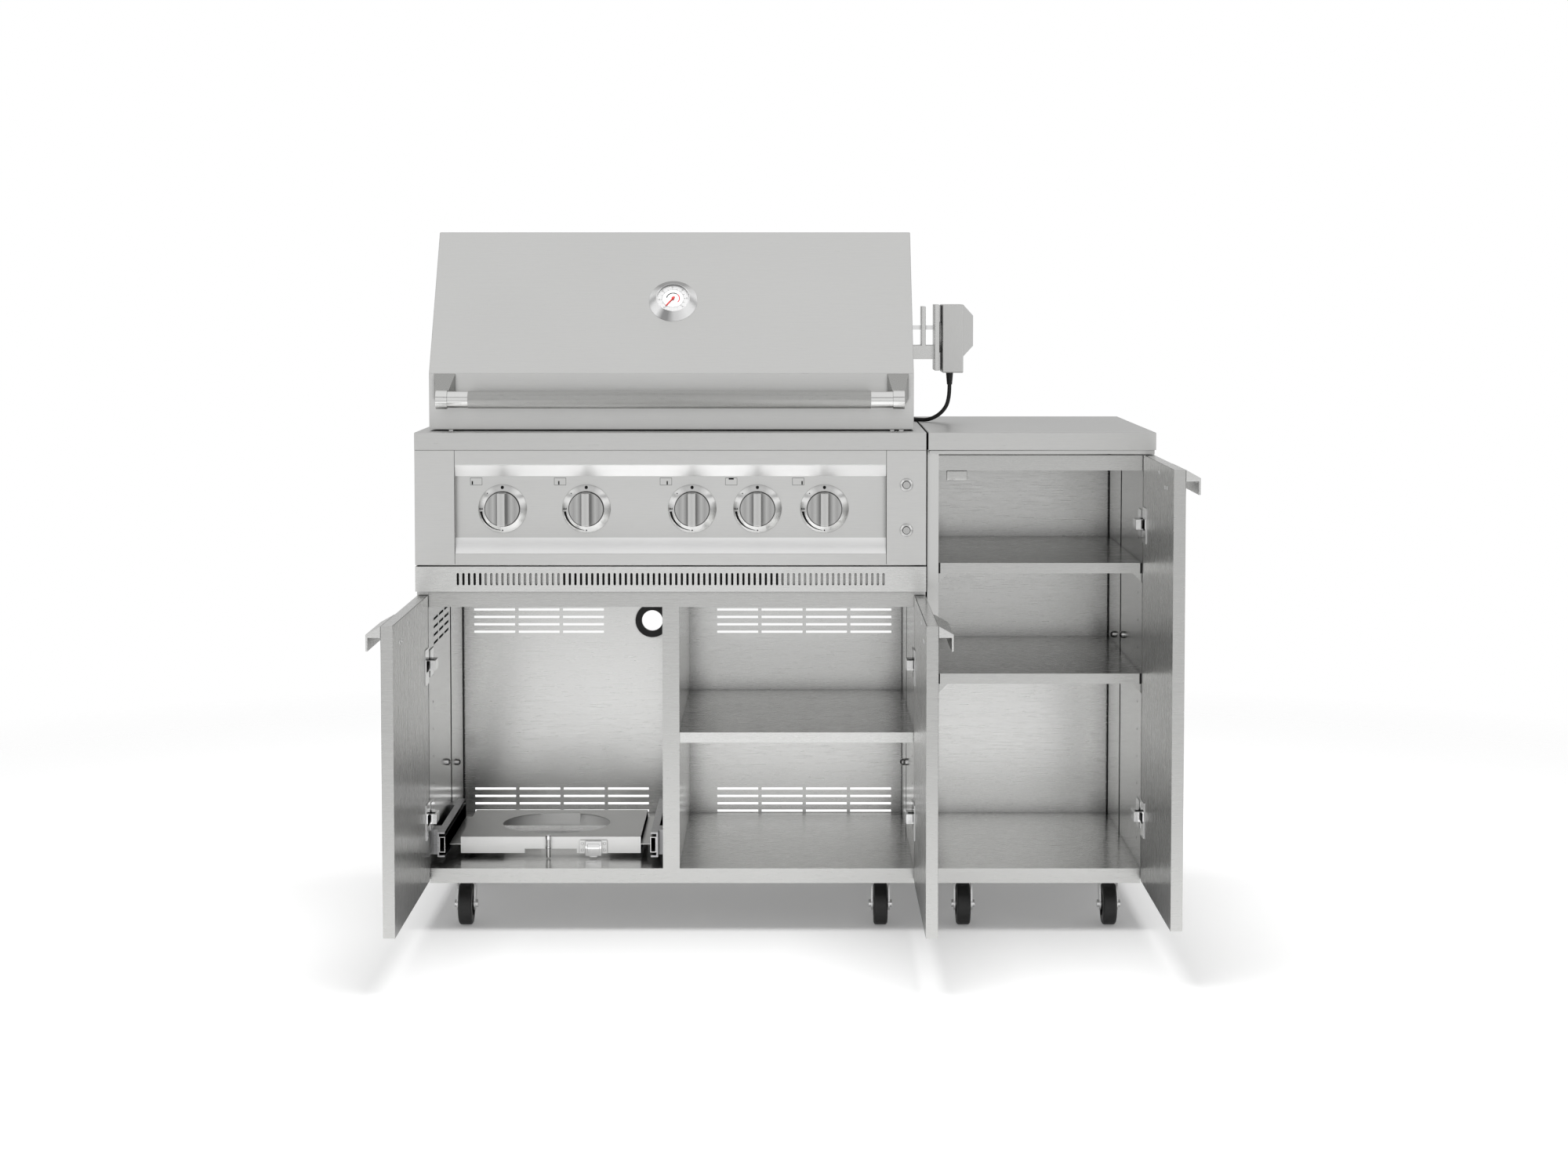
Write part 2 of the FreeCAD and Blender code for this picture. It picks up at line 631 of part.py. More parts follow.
def shelf(xs, top):
    return pan(xs, (SHELF_SETBACK, BACK), (top - SHELF_LIP, top), SHEET)


def side_shelf(top):
    """A shelf pan with a small triangular gusset under each front corner."""
    xs = SIDE_INSIDE
    bottom = top - SHELF_LIP
    corners = []
    for edge, inwards in ((min(xs), 1), (max(xs), -1)):
        outline = [(edge, bottom - GUSSET), (edge + inwards * GUSSET, bottom), (edge, bottom)]
        corners.append(prism_y(outline, (SHELF_SETBACK, SHELF_SETBACK + SHEET)))
    return joined(shelf(xs, top), *corners)


# Worktops


def worktop_pan(xs):
    return pan(xs, (-FRONT_OVERHANG, WORKTOP_BACK), (DECK_BOTTOM, WORKTOP_TOP), WORKTOP_SHEET)


def side_worktop():
    """The side worktop: a pan over the cabinet, with an angle strip under its front edge."""
    top = worktop_pan((SIDE_LEFT, SIDE_RIGHT))
    xs = (SIDE_LEFT + LIP_INSET, SIDE_RIGHT - LIP_INSET)
    ys = (LIP_INSET - FRONT_OVERHANG, 0)
    zs = (DECK_BOTTOM - LIP_HEIGHT, DECK_BOTTOM)
    strip = box(xs, ys, zs).cut(box(xs, (ys[0] + WORKTOP_SHEET, 0), (zs[0], zs[1] - WORKTOP_SHEET)))
    return [top, strip]


def grill_deck():
    top = worktop_pan((GRILL_LEFT, GRILL_RIGHT))
    return top.cut(box(FIREBOX_XS, FIREBOX_YS, (DECK_BOTTOM, WORKTOP_TOP + WORKTOP_SHEET)))


# Control panel, vent panel, knobs and buttons


def recess_outline(front, grow):
    """The recess in the control panel, from the side, grown outwards by a sheet's thickness."""
    top = DECK_BOTTOM - TOP_STRIP
    bottom = CONTROL_BOTTOM + BOTTOM_STRIP
    face = CONTROL_FACE + grow
    return [
        (front, bottom - grow), (-PANEL_FRONT, bottom - grow), (face, bottom + BOTTOM_BEVEL - grow),
        (face, top - TOP_BEVEL + grow), (-PANEL_FRONT, top + grow), (front, top + grow),
    ]


def control_panel():
    """One folded sheet, open at the back: two flat cheeks and a recessed face with sloping edges."""
    ahead = -PANEL_FRONT - PANEL_SHEET
    outside = box((GRILL_LEFT, GRILL_RIGHT), (-PANEL_FRONT, 0), (CONTROL_BOTTOM, DECK_BOTTOM))
    outside = outside.cut(prism_x(recess_outline(ahead, 0), RECESS))
    hollow = box(
        (GRILL_LEFT + PANEL_SHEET, GRILL_RIGHT - PANEL_SHEET),
        (-PANEL_FRONT + PANEL_SHEET, PANEL_SHEET),
        (CONTROL_BOTTOM + PANEL_SHEET, DECK_BOTTOM - PANEL_SHEET),
    )
    recess_xs = (RECESS[0] - PANEL_SHEET, RECESS[1] + PANEL_SHEET)
    hollow = hollow.cut(prism_x(recess_outline(ahead, PANEL_SHEET), recess_xs))
    stem_ys = (CONTROL_FACE - PANEL_SHEET, CONTROL_FACE + 2 * PANEL_SHEET)
    holes = [rod_y(x, stem_ys, KNOB_HEIGHT, STEM_RADIUS + CLEAR) for x in KNOB_XS]
    barrel_ys = (ahead, -PANEL_FRONT + 2 * PANEL_SHEET)
    holes += [rod_y(BUTTON_X, barrel_ys, height, BUTTON_BARREL_RADIUS) for height in BUTTON_HEIGHTS]
    return outside.cut([hollow] + holes)


def vent_panel():
    """A folded sheet strip with a row of upright slots, round at both ends."""
    ys = (-PANEL_FRONT, 0)
    zs = (VENT_BOTTOM, VENT_BOTTOM + VENT_HEIGHT)
    panel = box((GRILL_LEFT, GRILL_RIGHT), ys, zs)
    hollow = box(
        (GRILL_LEFT + PANEL_SHEET, GRILL_RIGHT - PANEL_SHEET),
        (ys[0] + PANEL_SHEET, ys[1] + PANEL_SHEET),
        (zs[0] + PANEL_SHEET, zs[1] - PANEL_SHEET),
    )
    middle_x = (GRILL_LEFT + GRILL_RIGHT) / 2
    middle_z = (zs[0] + zs[1]) / 2
    straight = SLOT_HEIGHT / 2 - SLOT_WIDTH / 2
    straight_zs = (middle_z - straight, middle_z + straight)
    through = (ys[0] - PANEL_SHEET, ys[0] + 2 * PANEL_SHEET)
    cuts = [hollow]
    for index in range(SLOT_COUNT):
        x = middle_x + (index - (SLOT_COUNT - 1) / 2) * SLOT_PITCH
        slot = box((x - SLOT_WIDTH / 2, x + SLOT_WIDTH / 2), through, straight_zs)
        ends = [rod_y(x, through, middle_z + side * straight, SLOT_WIDTH / 2) for side in (-1, 1)]
        cuts.append(joined(slot, *ends))
    return panel.cut(cuts)


def knob_bezel(x):
    """A ring round a knob that rises towards it, seated on the control panel's face."""
    inner = KNOB_RADIUS + BEZEL_GAP
    profile = [
        Vector(inner, 0, 0), Vector(BEZEL_RADIUS, 0, 0),
        Vector(BEZEL_RADIUS, -BEZEL_EDGE, 0), Vector(inner, -BEZEL_HEIGHT, 0),
    ]
    return turned(profile, Vector(x, CONTROL_FACE, KNOB_HEIGHT), Vector(0, 1, 0))


def button_rim(height):
    """A button's rim: a flange on the cheek and a barrel through it, bored for the button."""
    flange = rod_y(BUTTON_X, (-PANEL_FRONT - BUTTON_RIM, -PANEL_FRONT), height, BUTTON_RIM_RADIUS)
    barrel = rod_y(BUTTON_X, (-PANEL_FRONT, -PANEL_FRONT + BARREL_LENGTH), height, BUTTON_BARREL_RADIUS)
    bore_ys = (-PANEL_FRONT - BUTTON_RIM, -PANEL_FRONT + BARREL_LENGTH)
    return joined(flange, barrel).cut(rod_y(BUTTON_X, bore_ys, height, BUTTON_RADIUS + FIT))


def control_bezels():
    return [knob_bezel(x) for x in KNOB_XS] + [button_rim(height) for height in BUTTON_HEIGHTS]


def knob(x):
    """A round knob with an upright grip bar, on the stem that turns the gas valve."""
    back = CONTROL_FACE - KNOB_STANDOFF
    front = back - KNOB_DISC
    disc = rod_y(x, (back, front), KNOB_HEIGHT, KNOB_RADIUS)
    half = KNOB_GRIP_LENGTH / 2
    xs = (x - KNOB_GRIP_WIDTH / 2, x + KNOB_GRIP_WIDTH / 2)
    grip = box(xs, (front, front - KNOB_GRIP_DEPTH), (KNOB_HEIGHT - half, KNOB_HEIGHT + half))
    grip = grip.common(rod_y(x, (front, front - KNOB_GRIP_DEPTH), KNOB_HEIGHT, KNOB_RADIUS))
    stem = rod_y(x, (back, back + STEM_LENGTH), KNOB_HEIGHT, STEM_RADIUS)
    return joined(disc, grip, stem)


def push_button(height):
    front = -PANEL_FRONT - BUTTON_RIM - BUTTON_PROUD
    return rod_y(BUTTON_X, (front, front + BUTTON_LENGTH), height, BUTTON_RADIUS)


# Doors. In a door, u runs from its hinge edge to its free edge and v from its outer to its inner face.


def door_box(hinge_x, inwards, us, vs, zs):
    xs = [hinge_x + inwards * v for v in vs]
    ys = [DOOR_EDGE_Y - u for u in us]
    return box(xs, ys, zs)


def pivot_x(hinge_x, inwards):
    return hinge_x + inwards * (DOOR_THICKNESS - PIVOT_DEPTH)


def door(hinge_x, inwards, width, top, hinge_heights):
    """An open door: an outer pan, an inner liner, and two hinge cups with bores for the hinge pins."""
    zs = (DOOR_BOTTOM, top)
    liner_vs = (DOOR_THICKNESS - DOOR_SHEET, DOOR_THICKNESS)
    outer = door_box(hinge_x, inwards, (0, width), (0, liner_vs[0]), zs)
    hollow = door_box(
        hinge_x, inwards, (DOOR_SHEET, width - DOOR_SHEET), (DOOR_SHEET, DOOR_THICKNESS),
        (zs[0] + DOOR_SHEET, zs[1] - DOOR_SHEET),
    )
    liner = door_box(hinge_x, inwards, (0, width), liner_vs, zs)
    windows = []
    cups = []
    for height in hinge_heights:
        window_zs = (height - CUP_HALF_HEIGHT, height + CUP_HALF_HEIGHT)
        windows.append(door_box(hinge_x, inwards, (CUP_EDGE, CUP_NOTCH), liner_vs, window_zs))
        cups.append(hinge_cup(hinge_x, inwards, height))
    return [outer.cut(hollow), liner.cut(windows)] + cups


def hinge_cup(hinge_x, inwards, height):
    """Two lugs on the hinge pin, joined by a flange on the door's inner face, with a slot for the arm."""
    lugs_zs = (height - CUP_HALF_HEIGHT, height + CUP_HALF_HEIGHT)
    lugs = door_box(hinge_x, inwards, (CUP_EDGE, CUP_NOTCH), (CUP_EDGE, DOOR_THICKNESS), lugs_zs)
    flange_us = (CUP_FLANGE_START, CUP_FLANGE_END)
    flange_vs = (DOOR_THICKNESS, DOOR_THICKNESS + CUP_FLANGE)
    flange_zs = (height - CUP_FLANGE_HALF_HEIGHT, height + CUP_FLANGE_HALF_HEIGHT)
    flange = door_box(hinge_x, inwards, flange_us, flange_vs, flange_zs)
    slot_half = ARM_HALF_HEIGHT + 2 * CLEAR
    slot_vs = (0, DOOR_THICKNESS + 2 * CUP_FLANGE)
    slot = door_box(hinge_x, inwards, (0, CUP_NOTCH), slot_vs, (height - slot_half, height + slot_half))
    bore = rod_z(pivot_x(hinge_x, inwards), PIVOT_Y, lugs_zs, HINGE_PIN_RADIUS + FIT)
    return joined(lugs, flange).cut([slot, bore])


def hinge_arm(hinge_x, inwards, height):
    """A cranked arm from the cabinet wall's inner face to the hinge pin, with its plate and pin."""
    axis_x = pivot_x(hinge_x, inwards)
    wall_x = hinge_x + inwards * WALL
    zs = (height - ARM_HALF_HEIGHT, height + ARM_HALF_HEIGHT)
    elbow = wall_x + inwards * ARM_CRANK
    reach_ys = (PIVOT_Y - ARM_HALF_WIDTH, PIVOT_Y + ARM_HALF_WIDTH)
    plate_end = ARM_PLATE_START + ARM_PLATE_LENGTH
    plate_zs = (height - ARM_PLATE_HALF_HEIGHT, height + ARM_PLATE_HALF_HEIGHT)
    pin_zs = (height - HINGE_PIN_HALF, height + HINGE_PIN_HALF)
    return joined(
        rod_z(axis_x, PIVOT_Y, zs, ARM_TIP_RADIUS),
        rod_z(axis_x, PIVOT_Y, pin_zs, HINGE_PIN_RADIUS),
        box((axis_x, elbow), reach_ys, zs),
        box((elbow - inwards * ARM_LEG, elbow), (reach_ys[0], plate_end / 2), zs),
        box((wall_x, elbow), (ARM_PLATE_START, plate_end / 2), zs),
        box((wall_x, wall_x + inwards * ARM_PLATE), (ARM_PLATE_START, plate_end), plate_zs),
    )


DOORS = {
    "left_door": (GRILL_LEFT, 1, GRILL_DOOR_WIDTH, GRILL_DOOR_TOP, GRILL_HINGE_HEIGHTS),
    "right_door": (GRILL_RIGHT, -1, GRILL_DOOR_WIDTH, GRILL_DOOR_TOP, GRILL_HINGE_HEIGHTS),
    "side_door": (SIDE_RIGHT, -1, SIDE_DOOR_WIDTH, SIDE_DOOR_TOP, SIDE_HINGE_HEIGHTS),
}


def hinge_arms():
    arms = []
    for hinge_x, inwards, width, top, heights in DOORS.values():
        arms += [hinge_arm(hinge_x, inwards, height) for height in heights]
    return arms


def edge_handle(hinge_x, inwards, width, top):
    """A wedge along the top of a door's free end, with a lip that fingers hook behind."""
    far = hinge_x - inwards * EDGE_HANDLE_REACH
    behind = far + inwards * EDGE_HANDLE_LIP_THICKNESS
    shoulder = top - EDGE_HANDLE_DROP
    underside = top - EDGE_HANDLE_UNDERSIDE
    outline = [
        (hinge_x, top), (far, shoulder), (far, shoulder - EDGE_HANDLE_LIP),
        (behind, shoulder - EDGE_HANDLE_LIP), (behind, underside), (hinge_x, underside),
    ]
    free_end = DOOR_EDGE_Y - width
    return prism_y(outline, (free_end, free_end + EDGE_HANDLE_LENGTH))


# Gas bottle tray on two telescopic slides


def slide_parts(wall_x, inwards):
    """The fixed channel, the middle channel and the inner bar of one slide."""
    ys = (SLIDE_START, SLIDE_START + SLIDE_LENGTH)
    base = wall_x + inwards * SLIDE_SPACER
    mouth = base + inwards * SLIDE_THICKNESS
    zs = (SLIDE_BOTTOM, SLIDE_BOTTOM + SLIDE_HEIGHT)
    step = SLIDE_SHEET + CLEAR
    outer_web = base + inwards * SLIDE_SHEET
    outer = box((base, mouth), ys, zs).cut(
        box((outer_web, mouth), ys, (zs[0] + SLIDE_SHEET, zs[1] - SLIDE_SHEET))
    )
    middle_base = base + inwards * step
    middle_zs = (zs[0] + step, zs[1] - step)
    middle = box((middle_base, mouth), ys, middle_zs).cut(
        box(
            (middle_base + inwards * SLIDE_SHEET, mouth), ys,
            (middle_zs[0] + SLIDE_SHEET, middle_zs[1] - SLIDE_SHEET),
        )
    )
    bar_base = base + inwards * 2 * step
    bar_middle = SLIDE_BOTTOM + SLIDE_HEIGHT / 2
    bar_zs = (bar_middle - SLIDE_BAR_HEIGHT / 2, bar_middle + SLIDE_BAR_HEIGHT / 2)
    bar = box((bar_base, mouth + inwards * 2 * CLEAR), ys, bar_zs)
    hollow_zs = (bar_zs[0] + SLIDE_SHEET, bar_zs[1] - SLIDE_SHEET)
    bar = bar.cut(box((bar_base + inwards * SLIDE_SHEET, mouth - inwards * CLEAR), ys, hollow_zs))
    return outer, middle, bar


def slide_spacers(wall_x, inwards):
    """Two packing pieces that hold a slide off the wall beside it."""
    xs = (wall_x, wall_x + inwards * SLIDE_SPACER)
    zs = (SLIDE_BOTTOM, SLIDE_BOTTOM + SLIDE_HEIGHT)
    front = SLIDE_START + SPACER_INSET
    rear = SLIDE_START + SLIDE_LENGTH - SPACER_INSET
    return [box(xs, (front, front + SPACER_LENGTH), zs), box(xs, (rear - SPACER_LENGTH, rear), zs)]


SLIDE_SIDES = ((GRILL_INSIDE[0], 1), (DIVIDER[0], -1))


def slide_rails():
    rails = []
    for wall_x, inwards in SLIDE_SIDES:
        rails.append(slide_parts(wall_x, inwards)[0])
        rails += slide_spacers(wall_x, inwards)
    return rails


def slide_middles():
    return [slide_parts(wall_x, inwards)[1] for wall_x, inwards in SLIDE_SIDES]


def gas_tray():
    """An upturned pan with a round hole for the bottle's foot ring, held to the slides by two wings.

    The hole's rear edge is straight, with a tab folded down from it.
    """
    ys = (TRAY_START, TRAY_START + TRAY_DEPTH)
    tray = pan(TRAY_XS, ys, (TRAY_TOP - TRAY_LIP, TRAY_TOP), SHEET)
    middle_x = (TRAY_XS[0] + TRAY_XS[1]) / 2
    hole_y = TRAY_START + TRAY_HOLE_OFFSET
    hole_zs = (TRAY_TOP - 2 * SHEET, TRAY_TOP + SHEET)
    hole = rod_z(middle_x, hole_y, hole_zs, TRAY_HOLE_RADIUS)
    tab_xs = (middle_x - TRAY_TAB_WIDTH / 2, middle_x + TRAY_TAB_WIDTH / 2)
    tab_y = hole_y + sqrt(TRAY_HOLE_RADIUS ** 2 - TRAY_TAB_WIDTH ** 2 / 4)
    hole = hole.cut(box(tab_xs, (tab_y, hole_y + TRAY_HOLE_RADIUS), hole_zs))
    tab = box(tab_xs, (tab_y, tab_y + SHEET), (TRAY_TOP - TRAY_TAB_HEIGHT, TRAY_TOP))
    wing_top = TRAY_TOP - TRAY_WING_DROP
    notch_xs = (middle_x - TRAY_NOTCH_WIDTH / 2, middle_x + TRAY_NOTCH_WIDTH / 2)
    notch_zs = (TRAY_TOP - TRAY_LIP - SHEET, TRAY_TOP - TRAY_LIP + TRAY_NOTCH_HEIGHT)
    notch = box(notch_xs, (ys[0] - SHEET, ys[0] + 2 * SHEET), notch_zs)
    wings = []
    bars = []
    for wall_x, inwards in SLIDE_SIDES:
        face = wall_x + inwards * (SLIDE_SPACER + SLIDE_THICKNESS + 2 * CLEAR)
        edge = TRAY_XS[0] if inwards > 0 else TRAY_XS[1]
        wings.append(box((face, edge), ys, (wing_top - SHEET, wing_top)))
        bars.append(slide_parts(wall_x, inwards)[2])
    latch_x = middle_x + LATCH_OFFSET
    latch_zs = (TRAY_TOP - TRAY_LIP, TRAY_TOP - TRAY_LIP + LATCH_HEIGHT)
    latch = box((latch_x, latch_x + LATCH_WIDTH), (ys[0] - LATCH_THICKNESS, ys[0]), latch_zs)
    pin_x = middle_x - LATCH_PIN_OFFSET + TRAY_NOTCH_WIDTH / 4
    pin_y = ys[0] - LATCH_PIN_RADIUS
    pin_zs = (TRAY_TOP - LATCH_PIN_LENGTH + LATCH_THICKNESS, TRAY_TOP + LATCH_THICKNESS)
    pin = rod_z(pin_x, pin_y, pin_zs, LATCH_PIN_RADIUS)
    return [joined(tray.cut([hole, notch]), tab, *wings), latch, pin] + bars


# Castors


def fork_legs(x, y, wheel_y, top, hub_z):
    """Two legs beside a wheel, from a crown down to the axle, with the axle and its heads."""
    half = WHEEL_WIDTH / 2 + FORK_CLEAR
    shapes = []
    for side in (-1, 1):
        xs = (x + side * half, x + side * (half + FORK_SHEET))
        outline = [
            (y - FORK_FRONT, top), (y + FORK_REAR, top),
            (wheel_y + FORK_LEG_RADIUS, hub_z), (wheel_y - FORK_LEG_RADIUS, hub_z),
        ]
        shapes.append(prism_x(outline, xs))
        shapes.append(rod_x(xs, wheel_y, hub_z, FORK_LEG_RADIUS))
        head = (x + side * (half + FORK_SHEET), x + side * (half + FORK_SHEET + AXLE_HEAD))
        shapes.append(rod_x(head, wheel_y, hub_z, AXLE_HEAD_RADIUS))
    reach = half + FORK_SHEET
    shapes.append(rod_x((x - reach, x + reach), wheel_y, hub_z, AXLE_RADIUS))
    shapes.append(box((x - reach, x + reach), (y - FORK_FRONT, y + FORK_REAR), (top - FORK_CROWN, top)))
    return joined(*shapes)


def swivel_fork(x):
    """A front castor's fork, which swivels on the kingpin, with the wheel trailing forwards."""
    fork = fork_legs(x, CASTER_SETBACK, CASTER_SETBACK - CASTER_TRAIL, CROWN_TOP, WHEEL_RADIUS)
    bore_zs = (CROWN_TOP - 2 * FORK_CROWN, CROWN_TOP + FORK_CROWN)
    return fork.cut(rod_z(x, CASTER_SETBACK, bore_zs, KINGPIN_RADIUS + FIT))


def swivel_mount(x):
    """A front castor's top plate, race and kingpin under the floor panel."""
    half = CASTER_PLATE / 2
    ys = (CASTER_SETBACK - half, CASTER_SETBACK + half)
    head_top = CROWN_TOP - FORK_CROWN - CLEAR
    return joined(
        box((x - half, x + half), ys, (PLATE_BOTTOM, PLATE_BOTTOM + CASTER_PLATE_SHEET)),
        rod_z(x, CASTER_SETBACK, (PLATE_BOTTOM, PLATE_BOTTOM - CASTER_RACE), CASTER_RACE_RADIUS),
        rod_z(x, CASTER_SETBACK, (PLATE_BOTTOM, head_top), KINGPIN_RADIUS),
        rod_z(x, CASTER_SETBACK, (head_top - KINGPIN_HEAD, head_top), KINGPIN_HEAD_RADIUS),
    )


def fixed_mount(x):
    """A rear castor's plate and fixed fork."""
    half = CASTER_PLATE / 2
    ys = (REAR_CASTER_Y - half, REAR_CASTER_Y + half)
    plate = box((x - half, x + half), ys, (PLATE_BOTTOM, PLATE_BOTTOM + CASTER_PLATE_SHEET))
    return joined(plate, fork_legs(x, REAR_CASTER_Y, REAR_CASTER_Y, PLATE_BOTTOM, WHEEL_RADIUS))


def caster_mounts():
    return [swivel_mount(x) for x in FRONT_CASTER_XS] + [fixed_mount(x) for x in FRONT_CASTER_XS]


def caster_wheel(x, y):
    half = WHEEL_WIDTH / 2
    wheel = rod_x((x - half, x + half), y, WHEEL_RADIUS, WHEEL_RADIUS)
    rims = [edge for edge in wheel.Edges if isinstance(edge.Curve, Part.Circle)]
    wheel = wheel.makeFillet(WHEEL_ROUND, rims)
    recesses = [
        rod_x((x + side * half, x + side * (half - HUB_RECESS)), y, WHEEL_RADIUS, HUB_RADIUS).cut(
            rod_x((x + side * half, x + side * (half - HUB_RECESS)), y, WHEEL_RADIUS, AXLE_HEAD_RADIUS)
        )
        for side in (-1, 1)
    ]
    return wheel.cut(recesses + [rod_x((x - half, x + half), y, WHEEL_RADIUS, AXLE_RADIUS + FIT)])


# Firebox, burners, grates and drip tray

INNER_XS = (FIREBOX_XS[0] + FIREBOX_SHEET, FIREBOX_XS[1] - FIREBOX_SHEET)
INNER_YS = (FIREBOX_YS[0] + FIREBOX_SHEET, FIREBOX_YS[1] - FIREBOX_SHEET)
BURNER_PITCH = (INNER_XS[1] - INNER_XS[0]) / BURNER_COUNT
BURNER_XS = [INNER_XS[0] + (index + 0.5) * BURNER_PITCH for index in range(BURNER_COUNT)]


def firebox_tub():
    """A welded tub of four flanged walls and a floor with a drain, with holes for the burners in front."""
    floor_zs = (FIREBOX_BOTTOM, FIREBOX_BOTTOM + FIREBOX_SHEET)
    wall_zs = (FIREBOX_BOTTOM + FIREBOX_SHEET, WORKTOP_TOP + FIREBOX_SHEET)
    flange_zs = (WORKTOP_TOP, WORKTOP_TOP + FIREBOX_SHEET)
    flange_ys = (FIREBOX_YS[0] - FIREBOX_FLANGE, FIREBOX_YS[1] + FIREBOX_FLANGE)
    drain_xs = (INNER_XS[0] + FIREBOX_DRAIN_MARGIN, INNER_XS[1] - FIREBOX_DRAIN_MARGIN)
    drain_ys = (INNER_YS[0] + FIREBOX_DRAIN_MARGIN, INNER_YS[1] - FIREBOX_DRAIN_MARGIN)
    plates = [box(FIREBOX_XS, FIREBOX_YS, floor_zs).cut(box(drain_xs, drain_ys, floor_zs))]
    for outer, inner, outwards in zip(FIREBOX_XS, INNER_XS, (-1, 1)):
        flange = box((outer, outer + outwards * FIREBOX_FLANGE), flange_ys, flange_zs)
        plates.append(joined(box((outer, inner), FIREBOX_YS, wall_zs), flange))
    for outer, inner, outwards in zip(FIREBOX_YS, INNER_YS, (-1, 1)):
        flange = box(FIREBOX_XS, (outer, outer + outwards * FIREBOX_FLANGE), flange_zs)
        plates.append(joined(box(INNER_XS, (outer, inner), wall_zs), flange))
    wall_ys = (FIREBOX_YS[0], INNER_YS[0])
    plates[3] = plates[3].cut([rod_y(x, wall_ys, BURNER_HEIGHT, BURNER_RADIUS) for x in BURNER_XS])
    return plates


def hood_ear(hood_x, inwards):
    """An ear on the deck inside the hood's side, with the pin that the hood turns on."""
    inner = hood_x + inwards * (HOOD_SHEET + HOOD_EAR_CLEAR)
    foot = HOOD_AXIS_Y - HOOD_EAR_REACH
    low = HOOD_AXIS_Z - HOOD_EAR_HALF_HEIGHT
    high = HOOD_AXIS_Z + HOOD_EAR_HALF_HEIGHT
    outline = [
        (foot, WORKTOP_TOP), (foot + HOOD_EAR_FOOT, WORKTOP_TOP), (foot + HOOD_EAR_FOOT, low),
        (HOOD_AXIS_Y + HOOD_EAR_TIP, low), (HOOD_AXIS_Y + HOOD_EAR_TIP, high), (foot, high),
    ]
    pin = rod_x((inner, hood_x), HOOD_AXIS_Y, HOOD_AXIS_Z, HOOD_PIN_RADIUS)
    return joined(prism_x(outline, (inner, inner + inwards * HOOD_EAR)), pin)


def drip_runners():
    """Two angle runners under the firebox that carry the drip tray."""
    runners = []
    for edge, outwards in ((DRIP_XS[0], -1), (DRIP_XS[1], 1)):
        web = edge + outwards * CLEAR
        foot_z = DRIP_BOTTOM - CLEAR
        outside = web + outwards * RUNNER_SHEET
        side = box((web, outside), FIREBOX_YS, (foot_z - RUNNER_SHEET, FIREBOX_BOTTOM))
        foot_xs = (outside, edge - outwards * RUNNER)
        foot = box(foot_xs, FIREBOX_YS, (foot_z - RUNNER_SHEET, foot_z))
        runners.append(joined(side, foot))
    return runners


def firebox():
    ears = [hood_ear(HOOD_XS[0], 1), hood_ear(HOOD_XS[1], -1)]
    return firebox_tub() + ears + drip_runners()


def gas_burners():
    """Four burner tubes, a box burner at the back, and the manifold with a valve behind each knob."""
    tube_ys = (MANIFOLD_SETBACK + JET_LENGTH, INNER_YS[1])
    tubes = []
    for x in BURNER_XS:
        tube = rod_y(x, tube_ys, BURNER_HEIGHT, BURNER_RADIUS)
        bore_ys = (INNER_YS[0], INNER_YS[1] - BURNER_RADIUS)
        tubes.append(tube.cut(rod_y(x, bore_ys, BURNER_HEIGHT, BURNER_BORE_RADIUS)))
    rear_xs = (INNER_XS[0] + REAR_BURNER_MARGIN, INNER_XS[1] - REAR_BURNER_MARGIN)
    rear_ys = (FIREBOX_YS[1] - REAR_BURNER_DEPTH, FIREBOX_YS[1])
    rear_zs = (WORKTOP_TOP + FIREBOX_SHEET, WORKTOP_TOP + FIREBOX_SHEET + REAR_BURNER_HEIGHT)
    rear_hollow = box(
        (rear_xs[0] + FIREBOX_SHEET, rear_xs[1] - FIREBOX_SHEET),
        (rear_ys[0], rear_ys[1] - FIREBOX_SHEET),
        (rear_zs[0] + FIREBOX_SHEET, rear_zs[1] - FIREBOX_SHEET),
    )
    rear = box(rear_xs, rear_ys, rear_zs).cut(rear_hollow)
    pipe_xs = (FIREBOX_XS[0] + MANIFOLD_MARGIN, FIREBOX_XS[1] - MANIFOLD_MARGIN)
    manifold = [rod_x(pipe_xs, MANIFOLD_SETBACK, BURNER_HEIGHT, MANIFOLD_RADIUS)]
    jet_ys = (MANIFOLD_SETBACK, MANIFOLD_SETBACK + JET_LENGTH)
    for x in BURNER_XS:
        manifold.append(rod_y(x, jet_ys, BURNER_HEIGHT, JET_RADIUS))
    bores = []
    for x in KNOB_XS:
        valve_ys = (CONTROL_FACE + PANEL_SHEET, CONTROL_FACE + PANEL_SHEET + VALVE_DEPTH)
        half = VALVE_WIDTH / 2
        valve_zs = (KNOB_HEIGHT - half, BURNER_HEIGHT + VALVE_RISE)
        manifold.append(box((x - half, x + half), valve_ys, valve_zs))
        stem_end = CONTROL_FACE - KNOB_STANDOFF + STEM_LENGTH + CLEAR
        bores.append(rod_y(x, (valve_ys[0], stem_end), KNOB_HEIGHT, STEM_RADIUS + FIT))
    return tubes + [rear, joined(*manifold).cut(bores)]


